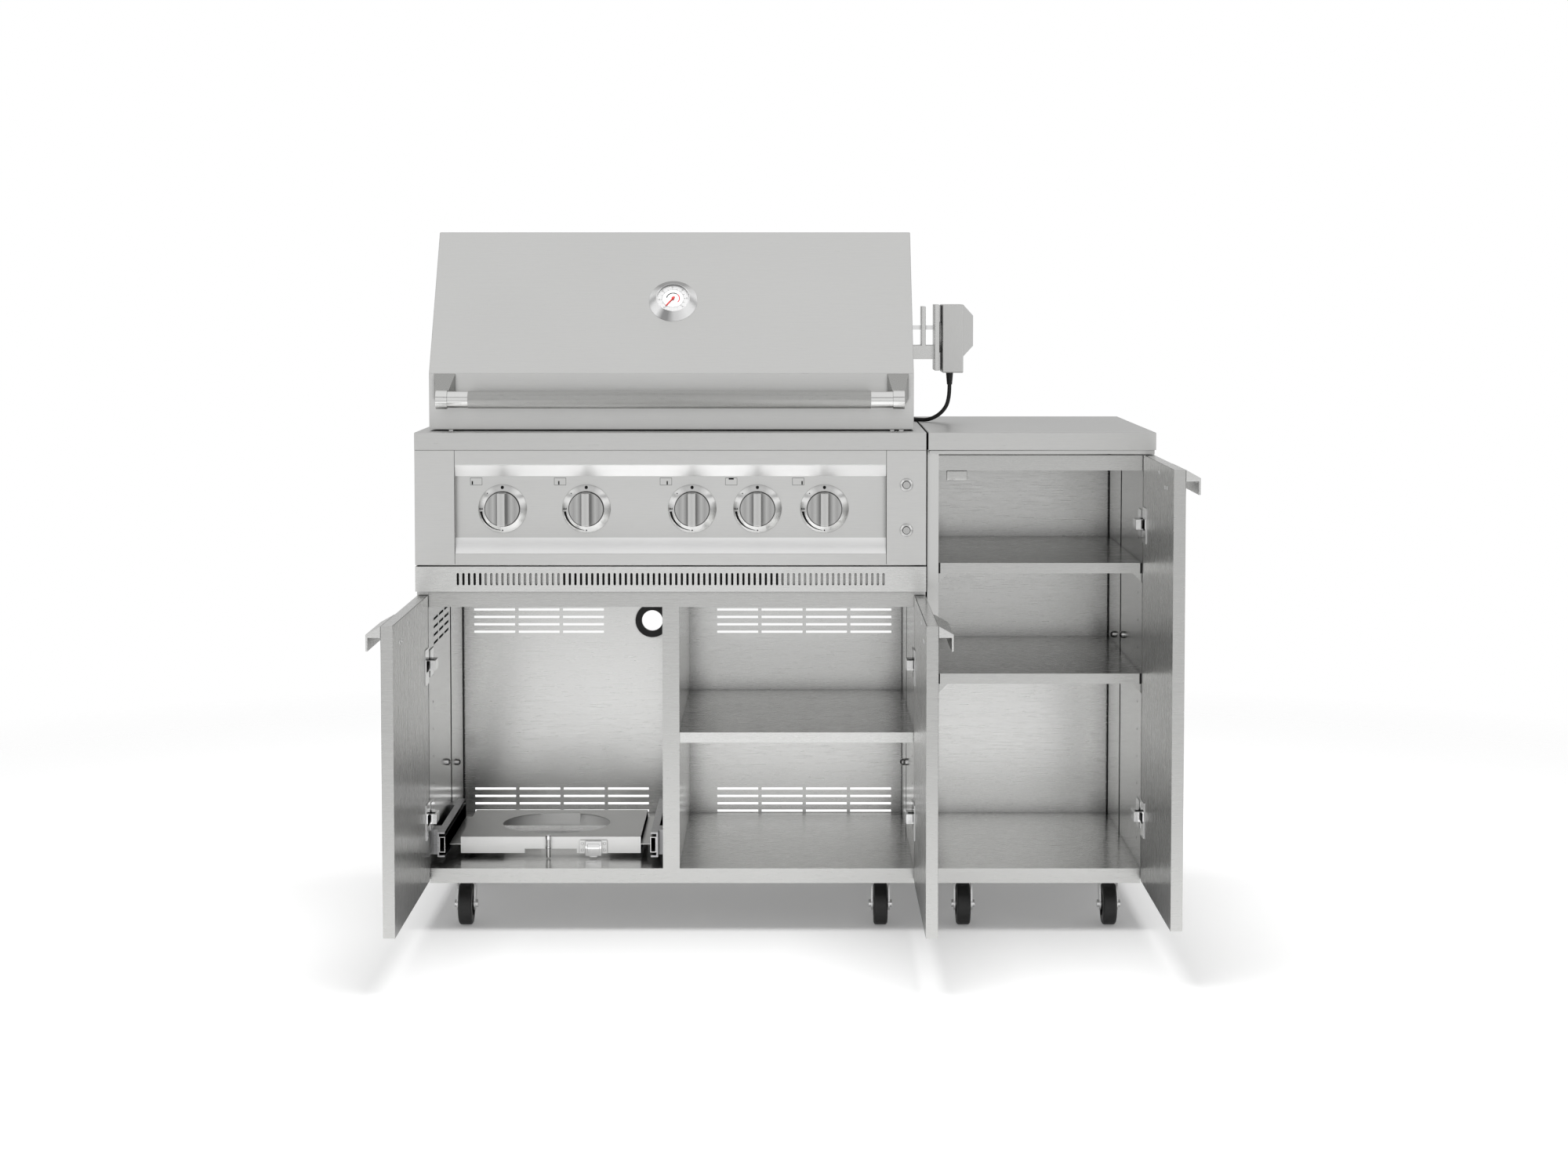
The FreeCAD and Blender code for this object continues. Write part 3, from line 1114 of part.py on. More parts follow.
def flame_tamers():
    """A folded roof over each burner, between the firebox's front and back."""
    tamers = []
    for x in BURNER_XS:
        half = TAMER_WIDTH / 2
        outline = [
            (x - half, TAMER_HEIGHT), (x - half + TAMER_SHEET, TAMER_HEIGHT),
            (x, TAMER_HEIGHT + TAMER_RISE - TAMER_SHEET), (x + half - TAMER_SHEET, TAMER_HEIGHT),
            (x + half, TAMER_HEIGHT), (x, TAMER_HEIGHT + TAMER_RISE),
        ]
        tamers.append(prism_y(outline, INNER_YS))
    return tamers


def cooking_grates():
    """Three grates side by side: bars from front to back on three cross bars."""
    grates = []
    width = (INNER_XS[1] - INNER_XS[0]) / GRATE_COUNT
    for index in range(GRATE_COUNT):
        start = INNER_XS[0] + index * width + GRATE_GAP / 2
        end = start + width - GRATE_GAP
        bars = int((end - start - GRATE_BAR) // GRATE_BAR_PITCH) + 1
        first = (start + end) / 2 - (bars - 1) / 2 * GRATE_BAR_PITCH
        zs = (GRATE_TOP - GRATE_BAR, GRATE_TOP)
        shapes = []
        for bar in range(bars):
            x = first + bar * GRATE_BAR_PITCH
            shapes.append(box((x - GRATE_BAR / 2, x + GRATE_BAR / 2), INNER_YS, zs))
        for share in GRATE_CROSS_SHARES:
            y = INNER_YS[0] + share * (INNER_YS[1] - INNER_YS[0])
            ys = (y - GRATE_CROSS_BAR / 2, y + GRATE_CROSS_BAR / 2)
            shapes.append(box((start, end), ys, zs))
        grates.append(joined(*shapes))
    return grates


def drip_tray():
    """A shallow welded tray under the drain that draws out through the gap in the back."""
    ys = (FIREBOX_YS[0] + DRIP_FRONT_GAP, CABINET_DEPTH + DRIP_REAR)
    inside_xs = (DRIP_XS[0] + DRIP_SHEET, DRIP_XS[1] - DRIP_SHEET)
    inside_ys = (ys[0] + DRIP_SHEET, ys[1] - DRIP_SHEET)
    wall_zs = (DRIP_BOTTOM + DRIP_SHEET, DRIP_TOP)
    plates = [box(DRIP_XS, ys, (DRIP_BOTTOM, DRIP_BOTTOM + DRIP_SHEET))]
    plates += [box((outer, inner), ys, wall_zs) for outer, inner in zip(DRIP_XS, inside_xs)]
    plates += [box(inside_xs, (outer, inner), wall_zs) for outer, inner in zip(ys, inside_ys)]
    return plates


# Hood


def hood_shell():
    """A folded and welded sheet hood, open below, with an arc slot in its right side for the spit."""
    outline = [
        (HOOD_FRONT, HOOD_BOTTOM), (HOOD_BACK, WORKTOP_TOP + HOOD_REAR_RISE), (HOOD_BACK, HOOD_BACK_FOLD),
        (HOOD_TOP_REAR, HOOD_TOP), (HOOD_TOP_FRONT, HOOD_TOP), (HOOD_FRONT, HOOD_FOLD_HEIGHT),
    ]
    inner = inset(outline, HOOD_SHEET)
    inner[0] = (inner[0][0], HOOD_BOTTOM - HOOD_SHEET)
    inner[1] = (inner[1][0], WORKTOP_TOP)
    inside_xs = (HOOD_XS[0] + HOOD_SHEET, HOOD_XS[1] - HOOD_SHEET)
    shell = prism_x(outline, HOOD_XS).cut(prism_x(inner, inside_xs))
    through = (HOOD_XS[0] - HOOD_SHEET, HOOD_XS[1] + HOOD_SHEET)
    pin_bore = rod_x(through, HOOD_AXIS_Y, HOOD_AXIS_Z, HOOD_PIN_RADIUS + FIT)
    dial_bore = Part.makeCylinder(DIAL_STEM_RADIUS, 4 * HOOD_SHEET, Vector(0, 0, -2 * HOOD_SHEET))
    dial_bore.Placement = DIAL_PLACE
    return shell.cut([pin_bore, dial_bore, spit_slot()])


def spit_slot():
    """The arc round the hood's axis that the spit takes through the hood's right side as it opens."""
    reach = Vector(0, SPIT_DEPTH - HOOD_AXIS_Y, SPIT_HEIGHT - HOOD_AXIS_Z)
    xs = (HOOD_XS[1] - 2 * HOOD_SHEET, HOOD_XS[1] + HOOD_SHEET)
    outer = rod_x(xs, HOOD_AXIS_Y, HOOD_AXIS_Z, reach.Length + SPIT_SLOT_WIDTH / 2)
    inner = rod_x(xs, HOOD_AXIS_Y, HOOD_AXIS_Z, reach.Length - SPIT_SLOT_WIDTH / 2)
    far = reach * 2
    wedge = prism_x(
        [
            (HOOD_AXIS_Y, HOOD_AXIS_Z), (HOOD_AXIS_Y + far.y, HOOD_AXIS_Z + far.z),
            (HOOD_AXIS_Y + far.y, WORKTOP_TOP), (HOOD_AXIS_Y, WORKTOP_TOP),
        ],
        xs,
    )
    end = rod_x(xs, SPIT_DEPTH, SPIT_HEIGHT, SPIT_SLOT_WIDTH / 2)
    return joined(outer.cut(inner).common(wedge), end)


def hood_handle():
    """A round tube with end caps, held off the hood's front by two tapering brackets on the caps."""
    ends = (HOOD_XS[0] + HANDLE_END_INSET, HOOD_XS[1] - HANDLE_END_INSET)
    tube_xs = (ends[0] + HANDLE_CAP, ends[1] - HANDLE_CAP)
    bar = rod_x(tube_xs, BAR_Y, HANDLE_HEIGHT, HANDLE_RADIUS)
    bar = bar.cut(rod_x(tube_xs, BAR_Y, HANDLE_HEIGHT, HANDLE_RADIUS - HANDLE_TUBE))
    caps = []
    brackets = []
    for end, inwards in ((ends[0], 1), (ends[1], -1)):
        cap = rod_x((end, end + inwards * HANDLE_CAP), BAR_Y, HANDLE_HEIGHT, HANDLE_CAP_RADIUS)
        caps.append(cap)
        brackets.append(handle_bracket(end + inwards * HANDLE_CAP / 2).cut(cap).cut(bar))
    return [bar] + caps + brackets


def handle_bracket(x):
    sections = []
    half = HANDLE_NECK_HEIGHT / 2
    feet = (
        (HOOD_FRONT, HANDLE_FOOT_WIDTH, HOOD_FOLD_HEIGHT - HANDLE_FOOT_HEIGHT, HOOD_FOLD_HEIGHT),
        (BAR_Y, HANDLE_NECK_WIDTH, HANDLE_HEIGHT - half, HANDLE_HEIGHT + half),
    )
    for y, width, low, high in feet:
        corners = [
            Vector(x - width / 2, y, low), Vector(x + width / 2, y, low),
            Vector(x + width / 2, y, high), Vector(x - width / 2, y, high),
        ]
        sections.append(Part.makePolygon(corners + corners[:1]))
    return Part.makeLoft(sections, True, True)


def dial_case():
    """The thermometer's turned case, a cone with a sunk dial, and its probe through the hood."""
    case = Part.makeCone(DIAL_RADIUS, DIAL_RIM_RADIUS, DIAL_THICKNESS)
    face_z = DIAL_THICKNESS - DIAL_FACE_DEPTH
    sunk = Part.makeCylinder(DIAL_FACE_RADIUS, DIAL_THICKNESS, Vector(0, 0, face_z))
    probe = Part.makeCylinder(DIAL_STEM_RADIUS, DIAL_STEM_LENGTH, Vector(0, 0, -DIAL_STEM_LENGTH))
    pin_foot = Vector(0, 0, face_z - NEEDLE_PIN_LENGTH)
    pin_hole = Part.makeCylinder(NEEDLE_PIN_RADIUS + FIT, DIAL_THICKNESS, pin_foot)
    case = joined(case, probe).cut([sunk, pin_hole])
    case.Placement = DIAL_PLACE
    return case


def dial_needle():
    """The needle on its pin, just above the dial."""
    base = DIAL_THICKNESS - DIAL_FACE_DEPTH + CLEAR
    pin_foot = Vector(0, 0, base - NEEDLE_PIN_LENGTH)
    pin = Part.makeCylinder(NEEDLE_PIN_RADIUS, NEEDLE_PIN_LENGTH, pin_foot)
    hub = Part.makeCylinder(NEEDLE_HUB_RADIUS, 2 * NEEDLE_THICKNESS, Vector(0, 0, base))
    blade_ys = (-NEEDLE_WIDTH / 2, NEEDLE_WIDTH / 2)
    blade = box((-NEEDLE_TAIL, NEEDLE_LENGTH), blade_ys, (base, base + NEEDLE_THICKNESS))
    blade.rotate(Vector(0, 0, 0), Vector(0, 0, 1), NEEDLE_ANGLE)
    needle = joined(pin, hub, blade)
    needle.Placement = DIAL_PLACE
    return needle


# Rotisserie

SUPPORT_X = INNER_XS[0]
REST_XS = (HOOD_XS[1] + REST_OFFSET, HOOD_XS[1] + REST_OFFSET + REST_THICKNESS)


def spit_support():
    """The plate on the firebox's left wall that carries the far end of the spit."""
    ys = (SPIT_DEPTH - SUPPORT_WIDTH / 2, SPIT_DEPTH + SUPPORT_WIDTH / 2)
    xs = (SUPPORT_X, SUPPORT_X + SUPPORT_SHEET)
    plate = box(xs, ys, (GRATE_TOP, SPIT_HEIGHT + SUPPORT_HEAD))
    return plate.cut(rod_x(xs, SPIT_DEPTH, SPIT_HEIGHT, SPIT_TIP_RADIUS + FIT))


def motor_bracket():
    """A plate on the deck beside the hood, an arm, the spit's rest and the motor's plate."""
    ys = (SPIT_DEPTH - SUPPORT_WIDTH / 2, SPIT_DEPTH + SUPPORT_WIDTH / 2)
    arm_zs = (ARM_BOTTOM, ARM_BOTTOM + ARM_HEIGHT)
    plate_ys = (MOTOR_YS[0] + CAP_MARGIN, MOTOR_YS[1] - CAP_MARGIN)
    upright_plate = box((BRACKET_X, BRACKET_X + BRACKET_SHEET), ys, (WORKTOP_TOP, arm_zs[1]))
    arm = box((BRACKET_X, MOTOR_PLATE_XS[0]), ys, arm_zs)
    arm = arm.cut(box((BRACKET_X, MOTOR_PLATE_XS[0]), ys, (arm_zs[0], arm_zs[1] - BRACKET_SHEET)))
    web = box((BRACKET_X, MOTOR_PLATE_XS[0]), (ys[0], ys[0] + BRACKET_SHEET), arm_zs)
    rest = box(REST_XS, ys, (arm_zs[1] - BRACKET_SHEET, REST_TOP))
    plate = box(MOTOR_PLATE_XS, plate_ys, (MOTOR_PLATE_BOTTOM, MOTOR_TOP))
    boss_xs = (MOTOR_PLATE_XS[1], MOTOR_XS[0])
    boss = rod_x(boss_xs, SPIT_DEPTH, (MOTOR_PLATE_BOTTOM + MOTOR_TOP) / 2, MOTOR_BOSS_RADIUS)
    rest_bore = rod_x(REST_XS, SPIT_DEPTH, SPIT_HEIGHT, SPIT_JOURNAL_RADIUS + FIT)
    plate_xs = (MOTOR_PLATE_XS[0], MOTOR_XS[0])
    plate_bore = rod_x(plate_xs, SPIT_DEPTH, SPIT_HEIGHT, MOTOR_SOCKET_RADIUS)
    return joined(upright_plate, arm, web, rest, plate, boss).cut([rest_bore, plate_bore])


def motor_housing():
    """The motor's box and tapered end cap, with the spit's socket and the switch's pocket, and the gland."""
    case = box(MOTOR_XS, MOTOR_YS, (MOTOR_BOTTOM, MOTOR_TOP))
    base_ys = (MOTOR_YS[0] + CAP_MARGIN, MOTOR_YS[1] - CAP_MARGIN)
    tip_ys = (base_ys[0] + CAP_TAPER, base_ys[1] - CAP_TAPER)
    sections = []
    for x, ys, zs in (
        (MOTOR_XS[1], base_ys, (CAP_BASE_BOTTOM, MOTOR_TOP)),
        (MOTOR_XS[1] + CAP_LENGTH, tip_ys, (CAP_BOTTOM, CAP_TOP)),
    ):
        corners = [
            Vector(x, ys[0], zs[0]), Vector(x, ys[1], zs[0]), Vector(x, ys[1], zs[1]), Vector(x, ys[0], zs[1]),
        ]
        sections.append(Part.makePolygon(corners + corners[:1]))
    cap = Part.makeLoft(sections, True, True)
    socket_xs = (MOTOR_XS[0], MOTOR_XS[0] + SPIT_IN_MOTOR + CLEAR)
    socket = rod_x(socket_xs, SPIT_DEPTH, SPIT_HEIGHT, MOTOR_SOCKET_RADIUS)
    half = SWITCH_WIDTH / 2 + CLEAR
    switch_ys = (SPIT_DEPTH - half, SPIT_DEPTH + half)
    pocket = rod_y(SWITCH_X, switch_ys, SWITCH_HEIGHT, SWITCH_RADIUS + CLEAR)
    pin_ys = (switch_ys[0] - SWITCH_PIN_LENGTH, switch_ys[1] + SWITCH_PIN_LENGTH)
    pin_hole = rod_y(SWITCH_X, pin_ys, SWITCH_HEIGHT, SWITCH_PIN_RADIUS + FIT)
    gland_tip = cord_points()[0]
    gland = Part.makeCone(GLAND_TIP_RADIUS, GLAND_RADIUS, MOTOR_BOTTOM - gland_tip.z, gland_tip)
    return [joined(case, cap).cut([socket, pocket, pin_hole]), gland]


def motor_switch():
    """A rocker on its pivot pin, pressed down at its lower end."""
    half = SWITCH_RADIUS * sin(radians(SWITCH_FACE_ANGLE))
    shallow = SWITCH_RADIUS * cos(radians(SWITCH_FACE_ANGLE))
    outline = [
        (-SWITCH_DEPTH, -half), (shallow, -half), (SWITCH_VALLEY, 0), (shallow, half), (-SWITCH_DEPTH, half),
    ]
    ys = (SPIT_DEPTH - SWITCH_WIDTH / 2, SPIT_DEPTH + SWITCH_WIDTH / 2)
    rocker = prism_y([(SWITCH_X + x, SWITCH_HEIGHT + z) for x, z in outline], ys)
    rocker.rotate(Vector(SWITCH_X, 0, SWITCH_HEIGHT), Vector(0, 1, 0), SWITCH_TILT)
    pin_ys = (ys[0] - SWITCH_PIN_LENGTH, ys[1] + SWITCH_PIN_LENGTH)
    return joined(rocker, rod_y(SWITCH_X, pin_ys, SWITCH_HEIGHT, SWITCH_PIN_RADIUS))


def spit_rod():
    """A square spit with a round journal in its rest and a round tip, and two forks facing each other."""
    half = SPIT_SQUARE / 2
    ys = (SPIT_DEPTH - half, SPIT_DEPTH + half)
    zs = (SPIT_HEIGHT - half, SPIT_HEIGHT + half)
    tip_end = SUPPORT_X + SUPPORT_SHEET
    square = box((tip_end + CLEAR, MOTOR_XS[0] + SPIT_IN_MOTOR), ys, zs)
    tip_xs = (tip_end - SPIT_TIP_LENGTH / 2, tip_end + SPIT_TIP_LENGTH)
    tip = rod_x(tip_xs, SPIT_DEPTH, SPIT_HEIGHT, SPIT_TIP_RADIUS)
    journal = rod_x(REST_XS, SPIT_DEPTH, SPIT_HEIGHT, SPIT_JOURNAL_RADIUS)
    middle = (INNER_XS[0] + INNER_XS[1]) / 2
    forks = []
    for side in (-1, 1):
        hub_x = middle + side * FORK_FROM_MIDDLE
        hub_end = hub_x + side * FORK_HUB_LENGTH
        hub_half = FORK_HUB / 2
        hub = box(
            (hub_x, hub_end), (SPIT_DEPTH - hub_half, SPIT_DEPTH + hub_half),
            (SPIT_HEIGHT - hub_half, SPIT_HEIGHT + hub_half),
        ).cut(box((hub_x, hub_end), ys, zs))
        prong_xs = (hub_x, hub_x - side * FORK_PRONG_LENGTH)
        prongs = []
        for dy in (-1, 1):
            for dz in (-1, 1):
                y = SPIT_DEPTH + dy * FORK_PRONG_SPREAD
                z = SPIT_HEIGHT + dz * FORK_PRONG_SPREAD
                prongs.append(rod_x(prong_xs, y, z, FORK_PRONG_RADIUS))
        forks.append(joined(hub, *prongs))
    return [joined(square, tip, journal)] + forks


# Mains lead: a free run, a put-away coil on the floor behind the island, and the plug


def cord_edges(points):
    """Straight runs joined by tangent arcs, each as large as its two runs allow, and the arcs' radii."""
    edges = []
    radii = []
    here = points[0]
    for index in range(1, len(points) - 1):
        arriving = points[index] - points[index - 1]
        leaving = points[index + 1] - points[index]
        turn = arriving.getAngle(leaving)
        cut = CORD_ARC_SHARE * min(arriving.Length, leaving.Length)
        radius = cut / tan(turn / 2)
        arriving.normalize()
        leaving.normalize()
        start = points[index] - arriving * cut
        end = points[index] + leaving * cut
        bisector = (leaving - arriving).normalize()
        middle = points[index] + bisector * ((cut * cut + radius * radius) ** 0.5 - radius)
        edges.append(Part.LineSegment(here, start).toShape())
        edges.append(Part.Arc(start, middle, end).toShape())
        radii.append(radius)
        here = end
    edges.append(Part.LineSegment(here, points[-1]).toShape())
    return edges, radii


def tube(edges):
    wire = Part.Wire(edges)
    start = edges[0].valueAt(edges[0].FirstParameter)
    heading = edges[0].tangentAt(edges[0].FirstParameter)
    ring = Part.Wire(Part.makeCircle(CORD_DIAMETER / 2, start, heading))
    return wire.makePipeShell([ring], True, False)


def cord_points():
    return [Vector(*point) for point in CORD_ROUTE]


def coil_edges():
    """Two layers: the upper spirals in, drops a layer over half a turn, and the lower spirals out."""
    start = cord_points()[-1]
    straight = CORD_DIAMETER
    here = start - Vector(straight, 0, 0)
    edges = [Part.LineSegment(start, here).toShape()]
    reversal = COIL_HALF_TURNS // 2
    side = 1
    for index in range(COIL_HALF_TURNS):
        radius = COIL_RADIUS + abs(index - reversal) * COIL_TURN_PITCH / 2
        drop = COIL_LAYER_PITCH if index == reversal else 0
        end = here + Vector(0, side * 2 * radius, -drop)
        middle = (here + end) / 2 - Vector(side * (radius ** 2 + drop ** 2 / 4) ** 0.5, 0, 0)
        edges.append(Part.Arc(here, middle, end).toShape())
        here = end
        side = -side
    edges.append(Part.LineSegment(here, here - Vector(side * COIL_TAIL, 0, 0)).toShape())
    return edges


def plug():
    """A two-pin plug lying on the floor at the end of the coil."""
    last = coil_edges()[-1]
    start = last.valueAt(last.LastParameter)
    low = start.z - CORD_DIAMETER / 2
    neck = rod_x((start.x, start.x + PLUG_NECK), start.y, low + PLUG_NECK_RADIUS, PLUG_NECK_RADIUS)
    xs = (start.x + PLUG_NECK, start.x + PLUG_NECK + PLUG_LENGTH)
    body = box(xs, (start.y - PLUG_WIDTH / 2, start.y + PLUG_WIDTH / 2), (low, low + PLUG_HEIGHT))
    pins = []
    for side in (-1, 1):
        y = start.y + side * PLUG_PIN_SPACING / 2
        pins.append(rod_x((xs[1], xs[1] + PLUG_PIN_LENGTH), y, low + PLUG_HEIGHT / 2, PLUG_PIN_RADIUS))
    return joined(neck, body, *pins)


def least_gap(edges):
    """The least gap of a wound tube to itself, between points more than a half turn apart along it."""
    points = []
    for edge in edges:
        count = max(2, int(edge.Length / CORD_SAMPLE))
        points += edge.discretize(Number=count)
    spans = int(pi * COIL_RADIUS / CORD_SAMPLE)
    gaps = [
        points[first].distanceToPoint(points[second]) - CORD_DIAMETER
        for first in range(len(points)) for second in range(first + spans, len(points))
    ]
    return min(gaps)


run_edges, run_radii = cord_edges(cord_points())
wound_edges = coil_edges()
run_length = sum(edge.Length for edge in run_edges)
coil_length = sum(edge.Length for edge in wound_edges)
section = pi * CORD_DIAMETER ** 2 / 4
print("cord radii", [round(radius) for radius in run_radii])
print("cord run and coil length", round(run_length), round(coil_length))
print("coil's least gap to itself", round(least_gap(wound_edges), 2))

nodes = {
    "floor_panels": floor_panels(),
    "grill_left_wall": grill_left_wall(),
    "grill_right_wall": grill_right_wall(),
    "grill_back_panel": grill_back_panel(),
    "divider_panel": divider_panel(),
    "header_rails": header_rails(),
    "grill_shelf": shelf((DIVIDER[1], GRILL_INSIDE[1]), GRILL_SHELF_TOP),
    "hose_grommet": hose_grommet(),
    "side_walls": side_walls(),
    "side_back_panel": side_back_panel(),
    "side_shelves": [side_shelf(top) for top in SIDE_SHELF_TOPS],
    "side_worktop": side_worktop(),
    "grill_deck": grill_deck(),
    "control_panel": control_panel(),
    "vent_panel": vent_panel(),
    "control_bezels": control_bezels(),
    "igniter_button": push_button(BUTTON_HEIGHTS[0]),
    "light_button": push_button(BUTTON_HEIGHTS[1]),
    "hinge_arms": hinge_arms(),
    "slide_rails": slide_rails(),
    "slide_middles": slide_middles(),
    "gas_tray": gas_tray(),
    "caster_mounts": caster_mounts(),
    "firebox": firebox(),
    "gas_burners": gas_burners(),
    "flame_tamers": flame_tamers(),
    "cooking_grates": cooking_grates(),
    "drip_tray": drip_tray(),
    "hood": hood_shell(),
    "hood_handle": hood_handle(),
    "thermometer": dial_case(),
    "thermometer_needle": dial_needle(),
    "motor_bracket": [motor_bracket(), spit_support()],
    "motor_housing": motor_housing(),
    "motor_switch": motor_switch(),
    "spit_rod": spit_rod(),
    "cord_run": tube(run_edges),
    "cord_coil": tube(wound_edges),
    "cord_plug": plug(),
}
for number, x in enumerate(KNOB_XS, 1):
    nodes[f"knob_{number}"] = knob(x)
for name, (hinge_x, inwards, width, top, heights) in DOORS.items():
    nodes[name] = door(hinge_x, inwards, width, top, heights)
    nodes[name + "_handle"] = edge_handle(hinge_x, inwards, width, top)
for number, x in enumerate(FRONT_CASTER_XS, 1):
    nodes[f"caster_fork_{number}"] = swivel_fork(x)
    nodes[f"caster_wheel_{number}"] = caster_wheel(x, CASTER_SETBACK - CASTER_TRAIL)
nodes["grill_rear_wheels"] = [caster_wheel(x, REAR_CASTER_Y) for x in FRONT_CASTER_XS[:2]]
nodes["side_rear_wheels"] = [caster_wheel(x, REAR_CASTER_Y) for x in FRONT_CASTER_XS[2:]]

for name, length in (("cord_run", run_length), ("cord_coil", coil_length)):
    print(name, "volume against section times length", round(nodes[name].Volume / (section * length), 4))

os.makedirs("parts", exist_ok=True)
for name, shape in nodes.items():
    pieces = shape if isinstance(shape, list) else [shape]
    solids = [solid for piece in pieces for solid in piece.Solids]
    whole = solids[0] if len(solids) == 1 else Part.makeCompound(solids)
    whole.translate(FRAME)
    whole.exportStep(f"parts/{name}.step")
print("nodes", len(nodes))
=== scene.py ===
import json
from math import atan2, cos, pi, radians, sin

import bmesh
import bpy
from mathutils import Matrix, Vector

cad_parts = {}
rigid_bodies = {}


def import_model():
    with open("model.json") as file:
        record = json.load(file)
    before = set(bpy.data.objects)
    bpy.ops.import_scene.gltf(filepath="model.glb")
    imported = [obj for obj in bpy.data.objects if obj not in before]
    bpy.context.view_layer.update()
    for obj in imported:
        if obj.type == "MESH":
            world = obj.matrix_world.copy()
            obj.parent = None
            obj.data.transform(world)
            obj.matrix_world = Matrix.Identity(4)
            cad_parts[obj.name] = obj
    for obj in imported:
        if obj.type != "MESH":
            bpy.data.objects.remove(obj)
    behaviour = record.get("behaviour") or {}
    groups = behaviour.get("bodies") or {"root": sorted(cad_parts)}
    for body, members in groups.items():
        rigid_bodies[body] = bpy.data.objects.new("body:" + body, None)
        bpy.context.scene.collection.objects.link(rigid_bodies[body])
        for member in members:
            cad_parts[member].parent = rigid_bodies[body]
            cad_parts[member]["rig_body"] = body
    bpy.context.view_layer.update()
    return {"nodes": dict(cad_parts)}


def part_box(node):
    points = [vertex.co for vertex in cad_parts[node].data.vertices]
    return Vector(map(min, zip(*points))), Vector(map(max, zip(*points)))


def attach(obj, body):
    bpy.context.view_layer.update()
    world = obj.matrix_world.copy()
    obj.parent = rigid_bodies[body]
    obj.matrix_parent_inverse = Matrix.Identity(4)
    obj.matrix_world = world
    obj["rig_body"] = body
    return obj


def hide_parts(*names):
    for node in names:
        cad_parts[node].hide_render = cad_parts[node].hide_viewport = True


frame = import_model()

# The studio: a pale floor under the island that fades out, a white surround and one large soft lamp.
# The surround is white for the eye. For reflections it is dimmer behind and below, with a dark band above.

scene = bpy.context.scene
scene.view_settings.view_transform = "Standard"


def node(tree, kind, inputs=None, **settings):
    """A new node in a tree, with its settings, and its inputs given as values or as other nodes' outputs."""
    made = tree.nodes.new(kind)
    for name, value in settings.items():
        setattr(made, name, value)
    for name, value in (inputs or {}).items():
        if isinstance(value, bpy.types.NodeSocket):
            tree.links.new(value, made.inputs[name])
        else:
            made.inputs[name].default_value = value
    return made


def ramp(tree, value, stops):
    """A colour ramp over a value, its stops given as (position, grey)."""
    made = node(tree, "ShaderNodeValToRGB", {"Fac": value})
    elements = made.color_ramp.elements
    while len(elements) < len(stops):
        elements.new(0.5)
    for element, (position, grey) in zip(elements, stops):
        element.position = position
        element.color = (grey, grey, grey, 1)
    return made.outputs["Color"]


HEIGHT_STOPS = (
    (0.0, 0.55), (0.40, 0.72), (0.46, 0.80), (0.54, 0.86), (0.70, 0.88), (0.73, 0.3), (0.77, 0.3),
    (0.80, 0.88),
)
DEPTH_STOPS = ((0.0, 1.0), (0.6, 0.98), (1.0, 0.76))
SURROUND_FILL = 0.4

world = bpy.data.worlds.new("surround")
scene.world = world
world.use_nodes = True
tree = world.node_tree
tree.nodes.clear()
direction = node(tree, "ShaderNodeTexCoord").outputs["Generated"]
parts = node(tree, "ShaderNodeSeparateXYZ", {"Vector": direction}).outputs
levels = []
for axis, stops in (("Z", HEIGHT_STOPS), ("Y", DEPTH_STOPS)):
    lifted = node(tree, "ShaderNodeMapRange", {"Value": parts[axis], "From Min": -1.0, "From Max": 1.0})
    levels.append(ramp(tree, lifted.outputs["Result"], stops))
mirrored = node(
    tree, "ShaderNodeMix", {0: 1.0, 6: levels[0], 7: levels[1]}, data_type="RGBA", blend_type="MULTIPLY"
)
path = node(tree, "ShaderNodeLightPath")
fill = node(tree, "ShaderNodeBackground", {"Color": (1, 1, 1, 1), "Strength": SURROUND_FILL})
shown = node(tree, "ShaderNodeBackground", {"Color": (1, 1, 1, 1), "Strength": 1.0})
glossy = node(tree, "ShaderNodeBackground", {"Color": mirrored.outputs[2], "Strength": 1.0})
straight = node(tree, "ShaderNodeMath", operation="MAXIMUM")
tree.links.new(path.outputs["Is Camera Ray"], straight.inputs[0])
tree.links.new(path.outputs["Is Transmission Ray"], straight.inputs[1])
lit = node(
    tree, "ShaderNodeMixShader", {0: path.outputs["Is Glossy Ray"], 1: fill.outputs[0], 2: glossy.outputs[0]}
)
seen = node(tree, "ShaderNodeMixShader", {0: straight.outputs[0], 1: lit.outputs[0], 2: shown.outputs[0]})
node(tree, "ShaderNodeOutputWorld", {"Surface": seen.outputs[0]})

FLOOR_HALF = 4.0
FLOOR_COLOUR = (0.9, 0.9, 0.9, 1)
FLOOR_FADE = (1.5, 3.2)
FLOOR_GLOW = 0.17

floor_mesh = bpy.data.meshes.new("studio_floor")
corners = [(x * FLOOR_HALF, y * FLOOR_HALF, 0) for x, y in ((-1, -1), (1, -1), (1, 1), (-1, 1))]
floor_mesh.from_pydata(corners, [], [(0, 1, 2, 3)])
floor = bpy.data.objects.new("studio_floor", floor_mesh)
scene.collection.objects.link(floor)
floor_paint = bpy.data.materials.new("studio_floor")
floor_paint.use_nodes = True
tree = floor_paint.node_tree
tree.nodes.clear()
matt = node(tree, "ShaderNodeBsdfDiffuse", {"Color": FLOOR_COLOUR})
path = node(tree, "ShaderNodeLightPath")
eye = node(tree, "ShaderNodeMath", operation="MAXIMUM")
tree.links.new(path.outputs["Is Camera Ray"], eye.inputs[0])
tree.links.new(path.outputs["Is Glossy Ray"], eye.inputs[1])
